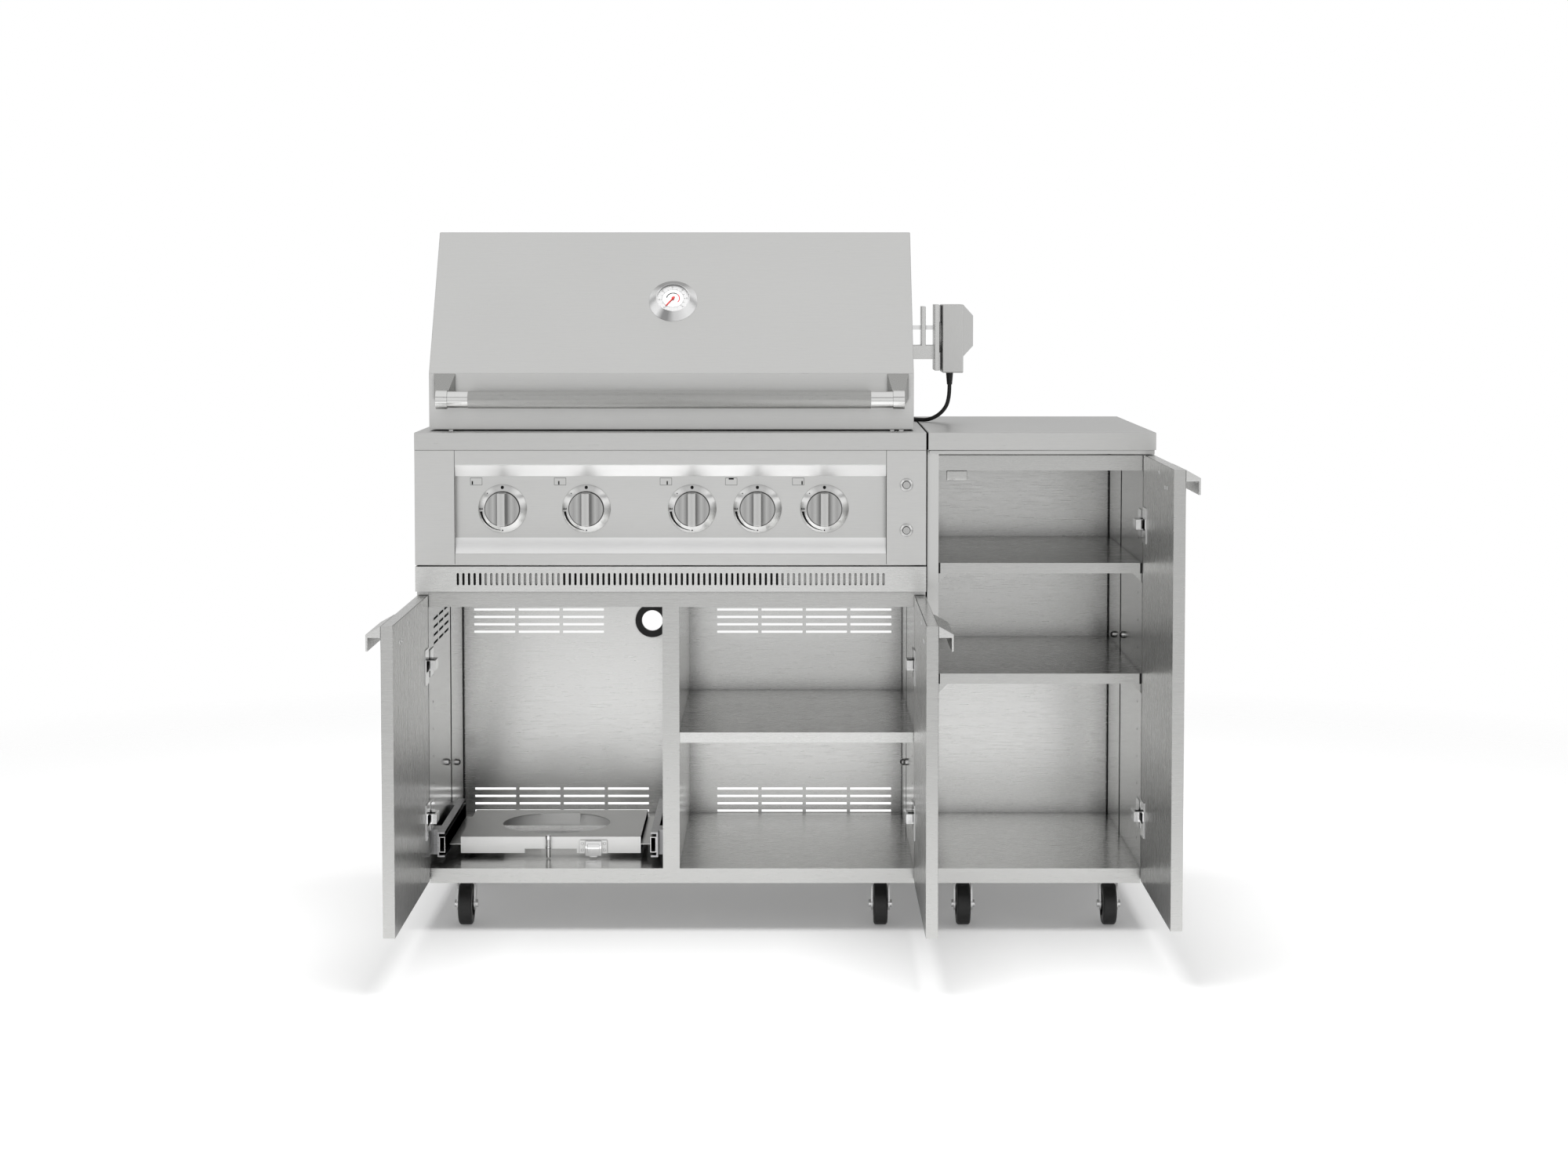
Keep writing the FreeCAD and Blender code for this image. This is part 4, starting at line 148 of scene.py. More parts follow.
strength = node(tree, "ShaderNodeMath", {0: eye.outputs[0], 1: FLOOR_GLOW}, operation="MULTIPLY")
glow = node(tree, "ShaderNodeEmission", {"Color": (1, 1, 1, 1), "Strength": strength.outputs[0]})
both = node(tree, "ShaderNodeAddShader", {0: matt.outputs[0], 1: glow.outputs[0]})
place = node(tree, "ShaderNodeTexCoord").outputs["Object"]
reach = node(tree, "ShaderNodeVectorMath", {0: place}, operation="LENGTH")
fade = node(tree, "ShaderNodeMapRange", {"Value": reach.outputs["Value"]})
fade.inputs["From Min"].default_value, fade.inputs["From Max"].default_value = FLOOR_FADE
clear = node(tree, "ShaderNodeBsdfTransparent")
faded = node(
    tree, "ShaderNodeMixShader", {0: fade.outputs["Result"], 1: both.outputs[0], 2: clear.outputs[0]}
)
node(tree, "ShaderNodeOutputMaterial", {"Surface": faded.outputs[0]})
floor_mesh.materials.append(floor_paint)

LAMP_PLACE = (0, -0.3, 4.0)
LAMP_SIZE = 3.0
LAMP_POWER = 170

lamp = bpy.data.lights.new("overhead_lamp", "AREA")
lamp.shape = "SQUARE"
lamp.size = LAMP_SIZE
lamp.energy = LAMP_POWER
holder = bpy.data.objects.new("overhead_lamp", lamp)
holder.location = LAMP_PLACE
holder.visible_glossy = False
scene.collection.objects.link(holder)

CAMERA_PLACE = (0.0071, -5.1139, 1.1683)
CAMERA_LENS = 65.38
CAMERA_TILT = 3.342
CAMERA_SHIFT = (-0.0033, -0.09)

camera = bpy.data.cameras.new("camera")
camera.lens = CAMERA_LENS
camera.shift_x, camera.shift_y = CAMERA_SHIFT
holder = bpy.data.objects.new("camera", camera)
holder.location = CAMERA_PLACE
holder.rotation_euler = (pi / 2 - radians(CAMERA_TILT), 0, 0)
scene.collection.objects.link(holder)
scene.camera = holder

# The carcass: two cabinets of folded stainless sheet with floor pans, hollow walls, slotted backs,
# front rails and lipped shelves. The sheet is brushed, and its folds are spot welded.

MM = 0.001
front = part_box("grill_left_wall")[0].y


def at(x, y, z):
    """A place given in millimetres from the island's middle, the cabinets' front edges and the floor."""
    return Vector((x * MM, front + y * MM, z * MM))


def brushed_grain():
    """Fine streaks and short dashes along one direction, as a belt leaves them on sheet."""
    group = bpy.data.node_groups.new("brushed_grain", "ShaderNodeTree")
    group.interface.new_socket("Dashes", in_out="INPUT", socket_type="NodeSocketVector")
    group.interface.new_socket("Streaks", in_out="INPUT", socket_type="NodeSocketVector")
    group.interface.new_socket("Tone", in_out="OUTPUT", socket_type="NodeSocketFloat")
    group.interface.new_socket("Clouds", in_out="OUTPUT", socket_type="NodeSocketFloat")
    given = node(group, "NodeGroupInput")
    place = node(group, "ShaderNodeTexCoord").outputs["Object"]
    layers = []
    for name, detail in (("Dashes", 2.0), ("Streaks", 3.0)):
        stretched = node(
            group, "ShaderNodeVectorMath", {0: place, 1: given.outputs[name]}, operation="MULTIPLY"
        ).outputs[0]
        noise = node(group, "ShaderNodeTexNoise", {"Vector": stretched, "Scale": 1.0, "Detail": detail})
        layers.append(noise.outputs["Fac"])
    tone = node(group, "ShaderNodeMix", {0: 0.5, 2: layers[0], 3: layers[1]})
    clouds = node(group, "ShaderNodeTexNoise", {"Vector": place, "Scale": 3.0, "Detail": 2.0})
    node(group, "NodeGroupOutput", {"Tone": tone.outputs[0], "Clouds": clouds.outputs["Fac"]})
    return group


CREASE_SKY = (0.25, 0.8)
CREASE_DARKEST = 0.3


def painted_crease_shade():
    """Painted shade where surfaces meet: the colour darkens where little open sky reaches, as shadow falls in
    joints.
    """
    group = bpy.data.node_groups.new("painted_crease_shade", "ShaderNodeTree")
    group.interface.new_socket("Reach", in_out="INPUT", socket_type="NodeSocketFloat")
    group.interface.new_socket("Shade", in_out="OUTPUT", socket_type="NodeSocketFloat")
    given = node(group, "NodeGroupInput")
    open_sky = node(group, "ShaderNodeAmbientOcclusion", {"Distance": given.outputs["Reach"]}, samples=6)
    shade = node(group, "ShaderNodeMapRange", {"Value": open_sky.outputs["AO"]})
    shade.inputs["From Min"].default_value, shade.inputs["From Max"].default_value = CREASE_SKY
    shade.inputs["To Min"].default_value = CREASE_DARKEST
    node(group, "NodeGroupOutput", {"Shade": shade.outputs["Result"]})
    return group


grain_group = brushed_grain()
crease_group = painted_crease_shade()
GRAIN_ALONG = {
    "x": ((1, 0, 0), (45, 480, 480), (7, 1500, 1500)),
    "z": ((0, 0, 1), (480, 480, 45), (1500, 1500, 7)),
}
GRAIN_DEPTH = 0.025
GRAIN_HEIGHT = 0.0004
GRAIN_TONES = (0.9, 1.09)
GRAIN_CLOUDS = 0.3
GRAIN_GLOSS = (-0.05, 0.06)


def new_material(name):
    material = bpy.data.materials.new(name)
    material.use_nodes = True
    shader = material.node_tree.nodes["Principled BSDF"]
    return material, material.node_tree, shader


def brushed_steel(name, colour, roughness, along, spread=0.7, crease_reach=0.012, darkens=None):
    """Brushed sheet: the streaks vary its colour, gloss and surface, and spread its gloss across them.
    With stops of height in metres and grey, painted shade darkens the sheet towards the floor."""
    material, tree, shader = new_material(name)
    way, dashes, streaks = GRAIN_ALONG[along]
    grain = node(tree, "ShaderNodeGroup", node_tree=grain_group)
    grain.inputs["Dashes"].default_value = dashes
    grain.inputs["Streaks"].default_value = streaks
    dark, light = ([min(1, tone * part) for part in colour] + [1] for tone in GRAIN_TONES)
    tone = grain.outputs["Tone"]
    blend = node(tree, "ShaderNodeMix", {0: GRAIN_CLOUDS, 2: tone, 3: grain.outputs["Clouds"]})
    tint = node(tree, "ShaderNodeMix", {0: blend.outputs[0], 6: dark, 7: light}, data_type="RGBA")
    # Painted shade: the colour darkens in creases and joints, within the reach.
    crease = node(tree, "ShaderNodeGroup", node_tree=crease_group)
    crease.inputs["Reach"].default_value = crease_reach
    shade = crease.outputs["Shade"]
    shaded = node(tree, "ShaderNodeVectorMath", {0: tint.outputs[2], "Scale": shade}, operation="SCALE")
    # Painted shade: the colour is scaled down by height towards the floor.
    if darkens:
        place = node(tree, "ShaderNodeTexCoord").outputs["Object"]
        height = node(tree, "ShaderNodeSeparateXYZ", {"Vector": place})
        greys = ramp(tree, height.outputs["Z"], darkens)
        shaded = node(tree, "ShaderNodeVectorMath", {0: shaded.outputs[0], 1: greys}, operation="MULTIPLY")
    tree.links.new(shaded.outputs[0], shader.inputs["Base Color"])
    gloss = node(tree, "ShaderNodeMapRange", {"Value": tone, "From Min": 0.3, "From Max": 0.7})
    gloss.inputs["To Min"].default_value = roughness + GRAIN_GLOSS[0]
    gloss.inputs["To Max"].default_value = roughness + GRAIN_GLOSS[1]
    tree.links.new(gloss.outputs["Result"], shader.inputs["Roughness"])
    bump = node(tree, "ShaderNodeBump", {"Height": tone, "Strength": GRAIN_DEPTH, "Distance": GRAIN_HEIGHT})
    tree.links.new(bump.outputs["Normal"], shader.inputs["Normal"])
    shader.inputs["Metallic"].default_value = 1.0
    shader.inputs["Anisotropic"].default_value = spread
    facing = node(tree, "ShaderNodeNewGeometry").outputs["Normal"]
    across = node(tree, "ShaderNodeVectorMath", {0: facing, 1: way}, operation="CROSS_PRODUCT")
    tree.links.new(across.outputs[0], shader.inputs["Tangent"])
    return material


STEEL = (0.72, 0.72, 0.71)
upright_steel = brushed_steel("upright_brushed_steel", STEEL, 0.2, "z")
level_steel = brushed_steel("level_brushed_steel", STEEL, 0.27, "x")
# The back panels and the lit tops take painted crease shade with a wider reach, for dark bands along their
# corners.
back_steel = brushed_steel("back_brushed_steel", (0.73, 0.73, 0.72), 0.24, "x", crease_reach=0.05)
# Painted light and shade: a lighter copy of the sheet steel for faces that face up, and a darker copy for
# lips, rails, shelves, end faces and small parts.
lit_top_steel = brushed_steel("lit_top_brushed_steel", (0.9, 0.9, 0.89), 0.24, "x", crease_reach=0.05)
shaded_steel = brushed_steel("shaded_brushed_steel", (0.56, 0.56, 0.55), 0.24, "x")


def finish_node(name, material):
    """Gives a CAD node that keeps its own shape a finished material."""
    mesh = frame["nodes"][name].data
    mesh.materials.clear()
    mesh.materials.append(material)


for name in ("grill_left_wall", "grill_right_wall", "side_walls", "divider_panel"):
    finish_node(name, upright_steel)
for name in ("grill_back_panel", "side_back_panel"):
    finish_node(name, back_steel)
for name in ("header_rails", "floor_panels", "side_shelves"):
    finish_node(name, shaded_steel)
finish_node("grill_shelf", level_steel)
# Painted light: the up-facing faces of the floor panels and the grill shelf take the lighter copy.
for name in ("floor_panels", "grill_shelf"):
    mesh = frame["nodes"][name].data
    mesh.materials.append(lit_top_steel)
    for face in mesh.polygons:
        face.material_index = 1 if face.normal.z > 0.5 else 0
# Painted shade: the divider's front face takes the darker copy.
divider = frame["nodes"]["divider_panel"].data
divider.materials.append(shaded_steel)
for face in divider.polygons:
    face.material_index = 1 if face.normal.y < -0.7 else 0


def smooth(mesh, angle=30):
    mesh.shade_smooth()
    mesh.set_sharp_from_angle(angle=radians(angle))


def new_piece(name, mesh, material, body):
    """A finished piece of the scene that rides on a body."""
    if not mesh.materials:
        mesh.materials.append(material)
    piece = bpy.data.objects.new(name, mesh)
    scene.collection.objects.link(piece)
    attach(piece, body)
    return piece


def prisms(name, outlines, rise):
    """Thin plates: each outline of points, raised by a vector."""
    shapes = bmesh.new()
    for outline in outlines:
        low = [shapes.verts.new(point) for point in outline]
        high = [shapes.verts.new(Vector(point) + rise) for point in outline]
        shapes.faces.new(low)
        shapes.faces.new(high)
        for index in range(len(outline)):
            after = (index + 1) % len(outline)
            shapes.faces.new((low[index], low[after], high[after], high[index]))
    bmesh.ops.recalc_face_normals(shapes, faces=shapes.faces)
    mesh = bpy.data.meshes.new(name)
    shapes.to_mesh(mesh)
    shapes.free()
    return mesh


# Seams in the cabinets' inner walls, where a front and a rear skin meet with a gap between them. The gaps at
# the seams and back corners are dark strips of painted shade.
# The skins are bolted through beside the seam, and small holes for shelf pins run up near the front as dark
# discs of painted shade.

SEAM_Y = 322
SEAM_WIDTH = 12.0
CORNER_YS = (521, 537.5)
SEAM_PROUD = 0.3
FLOOR_Z = 116
WALL_FACES = {
    "left": (-636.75, 1, 587), "right": (230.25, -1, 587),
    "side_left": (273.25, 1, 831), "side_right": (636.75, -1, 831),
}

# Painted shade: a near black for gaps, holes, slits and grooves, standing in for the shade inside them.
painted_gap_shade, tree, shader = new_material("painted_gap_shade")
shade = node(tree, "ShaderNodeTexNoise", {"Scale": 60.0, "Detail": 2.0})
tree.links.new(ramp(tree, shade.outputs["Fac"], ((0.3, 0.008), (0.7, 0.02))), shader.inputs["Base Color"])
shader.inputs["Roughness"].default_value = 0.8

for index, (wall_x, inwards, top) in enumerate(WALL_FACES.values()):
    outlines = []
    for near, far in ((SEAM_Y, SEAM_Y + SEAM_WIDTH), CORNER_YS):
        spots = ((near, FLOOR_Z), (far, FLOOR_Z), (far, top), (near, top))
        outlines.append([at(wall_x, y, z) for y, z in spots])
    mesh = prisms("wall_seams", outlines, Vector((inwards * SEAM_PROUD * MM, 0, 0)))
    new_piece(f"wall_seams_{index + 1}", mesh, painted_gap_shade, "island")


def fastener_tree():
    """Geometry nodes: a chamfered head on each point, turned to the way that the point faces."""
    group = bpy.data.node_groups.new("fastener_heads", "GeometryNodeTree")
    group.interface.new_socket("Places", in_out="INPUT", socket_type="NodeSocketGeometry")
    group.interface.new_socket("Head Radius", in_out="INPUT", socket_type="NodeSocketFloat")
    group.interface.new_socket("Head Height", in_out="INPUT", socket_type="NodeSocketFloat")
    group.interface.new_socket("Chamfer", in_out="INPUT", socket_type="NodeSocketFloat")
    group.interface.new_socket("Sides", in_out="INPUT", socket_type="NodeSocketInt")
    group.interface.new_socket("Finish", in_out="INPUT", socket_type="NodeSocketMaterial")
    group.interface.new_socket("Heads", in_out="OUTPUT", socket_type="NodeSocketGeometry")
    given = node(group, "NodeGroupInput")
    sizes = given.outputs
    wide = sizes["Head Radius"]
    narrow = node(group, "ShaderNodeMath", {0: wide, 1: sizes["Chamfer"]}, operation="SUBTRACT")
    shank_height = node(group, "ShaderNodeMath", {0: sizes["Head Height"], 1: 0.6}, operation="MULTIPLY")
    cap_height = node(group, "ShaderNodeMath", {0: sizes["Head Height"], 1: 0.4}, operation="MULTIPLY")
    shank = node(group, "GeometryNodeMeshCone", {"Vertices": sizes["Sides"], "Radius Top": wide})
    group.links.new(wide, shank.inputs["Radius Bottom"])
    group.links.new(shank_height.outputs[0], shank.inputs["Depth"])
    cap = node(group, "GeometryNodeMeshCone", {"Vertices": sizes["Sides"], "Radius Top": narrow.outputs[0]})
    group.links.new(wide, cap.inputs["Radius Bottom"])
    group.links.new(cap_height.outputs[0], cap.inputs["Depth"])
    lift = node(group, "ShaderNodeCombineXYZ", {"Z": shank_height.outputs[0]})
    raised = node(
        group, "GeometryNodeTransform", {"Geometry": cap.outputs["Mesh"], "Translation": lift.outputs[0]}
    )
    head = node(group, "GeometryNodeJoinGeometry")
    group.links.new(shank.outputs["Mesh"], head.inputs[0])
    group.links.new(raised.outputs["Geometry"], head.inputs[0])
    facing = node(group, "GeometryNodeInputNamedAttribute", {"Name": "facing"}, data_type="FLOAT_VECTOR")
    turn = node(group, "FunctionNodeAlignRotationToVector", {"Vector": facing.outputs["Attribute"]}, axis="Z")
    spread = node(
        group, "GeometryNodeInstanceOnPoints", {"Points": sizes["Places"], "Instance": head.outputs[0]}
    )
    group.links.new(turn.outputs["Rotation"], spread.inputs["Rotation"])
    real = node(group, "GeometryNodeRealizeInstances", {"Geometry": spread.outputs["Instances"]})
    painted = node(
        group, "GeometryNodeSetMaterial", {"Geometry": real.outputs["Geometry"], "Material": sizes["Finish"]}
    )
    node(group, "NodeGroupOutput", {"Heads": painted.outputs["Geometry"]})
    return group


heads_tree = fastener_tree()


def evaluated_mesh(holder):
    bpy.context.view_layer.update()
    graph = bpy.context.evaluated_depsgraph_get()
    mesh = bpy.data.meshes.new_from_object(holder.evaluated_get(graph))
    holder.modifiers.clear()
    return mesh


def run_tree(name, mesh, tree, sizes):
    """Runs a geometry tree on a mesh and gives the plain mesh that it makes."""
    holder = bpy.data.objects.new(name, mesh)
    scene.collection.objects.link(holder)
    modifier = holder.modifiers.new(name, "NODES")
    modifier.node_group = tree
    for item in tree.interface.items_tree:
        if item.in_out == "INPUT" and item.name in sizes:
            modifier[item.identifier] = sizes[item.name]
    made = evaluated_mesh(holder)
    bpy.data.objects.remove(holder)
    made.name = name
    return made


def fasteners(name, places, radius, height, sides, material, body, chamfer=0.25):
    """Like heads at places given as (point, facing), sizes in millimetres."""
    mesh = bpy.data.meshes.new(name)
    mesh.from_pydata([place for place, facing in places], [], [])
    facing = mesh.attributes.new("facing", "FLOAT_VECTOR", "POINT")
    for index, (place, direction) in enumerate(places):
        facing.data[index].vector = direction
    sizes = {
        "Head Radius": radius * MM, "Head Height": height * MM, "Chamfer": chamfer * radius * MM,
        "Sides": sides, "Finish": material,
    }
    made = run_tree(name, mesh, heads_tree, sizes)
    return new_piece(name, made, material, body)


GRILL_BOLTS = ((244, 267), (407, 239))
SIDE_BOLTS = ((268, 504), (419, 486))
PIN_Y = 60
PIN_PITCH = 49.6
PIN_FIRST = 160

bright_zinc, tree, shader = new_material("bright_zinc")
spots = node(tree, "ShaderNodeTexNoise", {"Scale": 220.0, "Detail": 3.0})
tree.links.new(ramp(tree, spots.outputs["Fac"], ((0.3, 0.74), (0.7, 0.84))), shader.inputs["Base Color"])
tree.links.new(ramp(tree, spots.outputs["Fac"], ((0.3, 0.22), (0.7, 0.34))), shader.inputs["Roughness"])
shader.inputs["Metallic"].default_value = 1.0

bright_chrome, tree, shader = new_material("bright_chrome")
haze = node(tree, "ShaderNodeTexNoise", {"Scale": 120.0, "Detail": 2.0})
# Painted shade: the plating's colour darkens in creases and joints.
crease = node(tree, "ShaderNodeGroup", node_tree=crease_group)
crease.inputs["Reach"].default_value = 0.008
plated = ramp(tree, haze.outputs["Fac"], ((0.3, 0.8), (0.7, 0.88)))
shaded = node(tree, "ShaderNodeVectorMath", {0: plated, "Scale": crease.outputs["Shade"]}, operation="SCALE")
tree.links.new(shaded.outputs[0], shader.inputs["Base Color"])
tree.links.new(ramp(tree, haze.outputs["Fac"], ((0.3, 0.08), (0.7, 0.14))), shader.inputs["Roughness"])
shader.inputs["Metallic"].default_value = 1.0

bolts = []
pins = []
for wall, (wall_x, inwards, top) in WALL_FACES.items():
    facing = Vector((inwards, 0, 0))
    spots = SIDE_BOLTS if wall.startswith("side") else GRILL_BOLTS
    bolts += [(at(wall_x, y, z), facing) for y, z in spots]
    for number in range(int((top - PIN_FIRST) / PIN_PITCH)):
        pins.append((at(wall_x, PIN_Y, PIN_FIRST + number * PIN_PITCH), facing))
fasteners("wall_bolts", bolts, 6.5, 9.0, 16, bright_zinc, "island", 0.55)
# Painted shade: the shelf pin holes are dark discs.
fasteners("shelf_pin_holes", pins, 2.0, 0.25, 12, painted_gap_shade, "island")

BAY_XS = ((-636.75, 230.25), (273.25, 636.75))
BACK_Y = 539
BACK_SCREW_EDGE = 9
BACK_SCREW_FIRST = 150
BACK_SCREW_PITCH = 150
BACK_SCREWS = 5
screws = []
for left, right in BAY_XS:
    for x in (left + BACK_SCREW_EDGE, right - BACK_SCREW_EDGE):
        for number in range(BACK_SCREWS):
            z = BACK_SCREW_FIRST + number * BACK_SCREW_PITCH
            screws.append((at(x, BACK_Y, z), Vector((0, 1, 0))))
fasteners("back_panel_screws", screws, 4.0, 2.2, 12, bright_zinc, "island", 0.4)

SHELF_TOPS = (467.0, 665.5)
SHELF_LIP = 18.5
SLIT = 3.5
SLIT_Y = 2
slits = []
for wall in ("side_left", "side_right"):
    wall_x, inwards, top = WALL_FACES[wall]
    xs = sorted((wall_x, wall_x + inwards * SLIT))
    for top in SHELF_TOPS:
        bottom = top - SHELF_LIP
        spots = ((xs[0], bottom), (xs[1], bottom), (xs[1], top), (xs[0], top))
        slits.append([at(x, SLIT_Y, z) for x, z in spots])
# Painted shade: dark slits where the shelves' ends meet the walls.
mesh = prisms("shelf_end_slits", slits, Vector((0, -SEAM_PROUD * MM, 0)))
new_piece("shelf_end_slits", mesh, painted_gap_shade, "island")

SLOT_BACK_X = -640.5
SLOT_BACK = ((70, 508), (301, 508), (301, 562), (70, 562))
slot_back = [at(SLOT_BACK_X, y, z) for y, z in SLOT_BACK]
mesh = prisms("wall_slot_backs", [slot_back], Vector((-MM, 0, 0)))
new_piece("wall_slot_backs", mesh, upright_steel, "island")

# The catch: a small block of folded sheet that holds the side door shut.
# It hangs under the side cabinet's front rail, by the edge away from the hinges.

CATCH = ((288, 324), (3, 17), (813, 830.5))


def rounded_box(xs, ys, zs, radius, segments=2):
    """A block with rounded edges, its spans given in millimetres."""
    shape = bmesh.new()
    low, high = at(min(xs), min(ys), min(zs)), at(max(xs), max(ys), max(zs))
    bmesh.ops.create_cube(shape, size=1)
    middle = (low + high) / 2
    for vertex in shape.verts:
        vertex.co = middle + Vector(part * span for part, span in zip(vertex.co, high - low))
    bmesh.ops.bevel(
        shape, geom=shape.edges[:], offset=radius * MM, segments=segments, profile=0.5, affect="EDGES"
    )
    mesh = bpy.data.meshes.new("block")
    shape.to_mesh(mesh)
    shape.free()
    smooth(mesh)
    return mesh


new_piece("door_catch", rounded_box(*CATCH, 1.2), shaded_steel, "island")

# The worktops: two deep-edged pans of thicker sheet, one round the firebox and one plain.
# Their edges are folded down with a small radius.


def loose_solids(mesh):
    """The mesh's faces as runs of corner places, one run for each closed solid, in the mesh's own order."""
    solids = [[]]
    unmatched = set()
    for face in mesh.polygons:
        corners = [tuple(round(part, 6) for part in mesh.vertices[index].co) for index in face.vertices]
        solids[-1].append(corners)
        for side in zip(corners, corners[1:] + corners[:1]):
            unmatched ^= {side[::-1]} if side[::-1] in unmatched else {side}
        if not unmatched:
            solids.append([])
    return [solid for solid in solids if solid]


def rounded_solid(faces, radius, wide):
    """One solid with its outer folds rounded, where both faces beside a fold are wide enough."""
    shape = bmesh.new()
    made = {}
    for corners in faces:
        for corner in corners:
            if corner not in made:
                made[corner] = shape.verts.new(corner)
        ring = [made[corner] for corner in corners]
        if len(set(corners)) == len(corners) and not shape.faces.get(ring):
            shape.faces.new(ring)
    bmesh.ops.dissolve_limit(shape, angle_limit=radians(1), verts=shape.verts, edges=shape.edges)

    def breadth(face):
        return 2 * face.calc_area() / face.calc_perimeter()

    folds = [
        edge for edge in shape.edges
        if len(edge.link_faces) == 2 and edge.is_convex and edge.calc_face_angle() > radians(24)
        and min(breadth(face) for face in edge.link_faces) > wide * MM
    ]
    if folds:
        bmesh.ops.bevel(
            shape, geom=folds, offset=radius * MM, segments=3, profile=0.5, affect="EDGES", clamp_overlap=True
        )
    return shape


def folded(name, materials, radius, small=0.0, wide=3.0):
    """A copy of a CAD node with its outer folds rounded, which stands for the node.
    Solids lower than the small height, in metres, take the second material."""
    source = frame["nodes"][name]
    whole = bmesh.new()
    for faces in loose_solids(source.data):
        shape = rounded_solid(faces, radius, wide)
        heights = [vertex.co.z for vertex in shape.verts]
        number = 1 if max(heights) - min(heights) < small else 0
        for face in shape.faces:
            face.material_index = number
        solid = bpy.data.meshes.new(name + "_solid")
        shape.to_mesh(solid)
        shape.free()
        whole.from_mesh(solid)
        bpy.data.meshes.remove(solid)
    mesh = bpy.data.meshes.new(name + "_finished")
    whole.to_mesh(mesh)
    whole.free()
    for material in materials:
        mesh.materials.append(material)
    smooth(mesh)
    mesh = evened(mesh)
    piece = new_piece(name + "_finished", mesh, materials[0], source["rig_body"])
    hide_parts(name)
    return piece


def evened(mesh):
    """The mesh with normals weighted by area, so that the flats stay flat beside their rounded folds."""
    holder = bpy.data.objects.new(mesh.name, mesh)
    scene.collection.objects.link(holder)
    weighted = holder.modifiers.new("flats", "WEIGHTED_NORMAL")
    weighted.keep_sharp = True
    made = evaluated_mesh(holder)
    bpy.data.objects.remove(holder)
    return made


panel_steel = brushed_steel("panel_brushed_steel", (0.64, 0.64, 0.63), 0.32, "x")
for name in ("grill_deck", "side_worktop"):
    folded(name, [panel_steel], 1.6)

# The control panel: a recessed face with sloping edges between two flat cheeks, and a slotted vent
# strip below it. The slopes take a much lighter copy of the panel steel, a painted sheen. Marks are printed
# on the face and the bezels.

RECESS_XS = (-585.95, 179.45)
FACE_Y = -9
PANEL_Y = -24
CONTROL_ZS = (664, 869)
SEAM_LINE = 0.7
PRINT = 0.15


def rectangle(xs, y, zs):
    return [at(xs[0], y, zs[0]), at(xs[1], y, zs[0]), at(xs[1], y, zs[1]), at(xs[0], y, zs[1])]


# Painted sheen: the panel's sloping edges take a much lighter copy of its steel.
slope_sheen_steel = brushed_steel(
    "slope_painted_sheen_steel", (0.96, 0.96, 0.95), 0.36, "x", spread=0.0, crease_reach=0.002
)
control_steel = brushed_steel("control_brushed_steel", (0.68, 0.68, 0.67), 0.38, "x", spread=0.3)
panel = folded("control_panel", [control_steel, slope_sheen_steel], 1.0)
for face in panel.data.polygons:
    if abs(face.normal.z) > 0.3 and abs(face.normal.y) > 0.3 and face.area > 0.001:
        face.material_index = 1
finish_node("vent_panel", level_steel)

# Painted shade: dark plates behind two groups of slots stand in for the shade inside, and the other slots
# show a steel plate behind them.
VENT_ZS = (622, 657)
VENT_BACKS = {"open": ((-600, -536), (-397, -5)), "closed": ((-536, -397), (-5, 194))}
for name, material in (("open", painted_gap_shade), ("closed", shaded_steel)):
    plates = [rectangle(xs, PANEL_Y + 6, VENT_ZS) for xs in VENT_BACKS[name]]
    new_piece(f"vent_{name}_backs", prisms("vent_backs", plates, Vector((0, MM, 0))), material, "island")

print_black, tree, shader = new_material("print_black")
flecks = node(tree, "ShaderNodeTexNoise", {"Scale": 900.0, "Detail": 2.0})
tree.links.new(ramp(tree, flecks.outputs["Fac"], ((0.3, 0.008), (0.7, 0.016))), shader.inputs["Base Color"])
shader.inputs["Roughness"].default_value = 0.6
shader.inputs["Specular IOR Level"].default_value = 0.1

forwards = Vector((0, -1, 0))
SEAM_ZS = (CONTROL_ZS[0] + 2, CONTROL_ZS[1] - 1)
# Painted shade: dark lines in the seams between the recess and the cheeks.
lines = [rectangle((x - SEAM_LINE / 2, x + SEAM_LINE / 2), PANEL_Y, SEAM_ZS) for x in RECESS_XS]
new_piece("cheek_seams", prisms("cheek_seams", lines, forwards * PRINT * MM), painted_gap_shade, "island")

KNOB_XS = (-502.25, -353.25, -165.25, -49.25, 69.75)
KNOB_Z = 763.5
BEZEL_EDGE = (43.0, 1.5)
BEZEL_SLOPE = 5.5 / 11.5
MARK_RADIUS = 38.3
SIGN_OFFSET = (-46.6, 48.5)
SIGN = (20.6, 12.8)
SIGN_LINE = 0.5
SIGN_TICKS = (
    (-7.0, -2.4, 2.4, 6.4), (-2.3, -2.4, 2.4, 6.4), (2.3, -2.4, 2.4, 6.4), (0, 4.6, 9.0, 2.6),
    (6.9, -2.4, 2.4, 6.4),
)
TURN_STEPS = 72


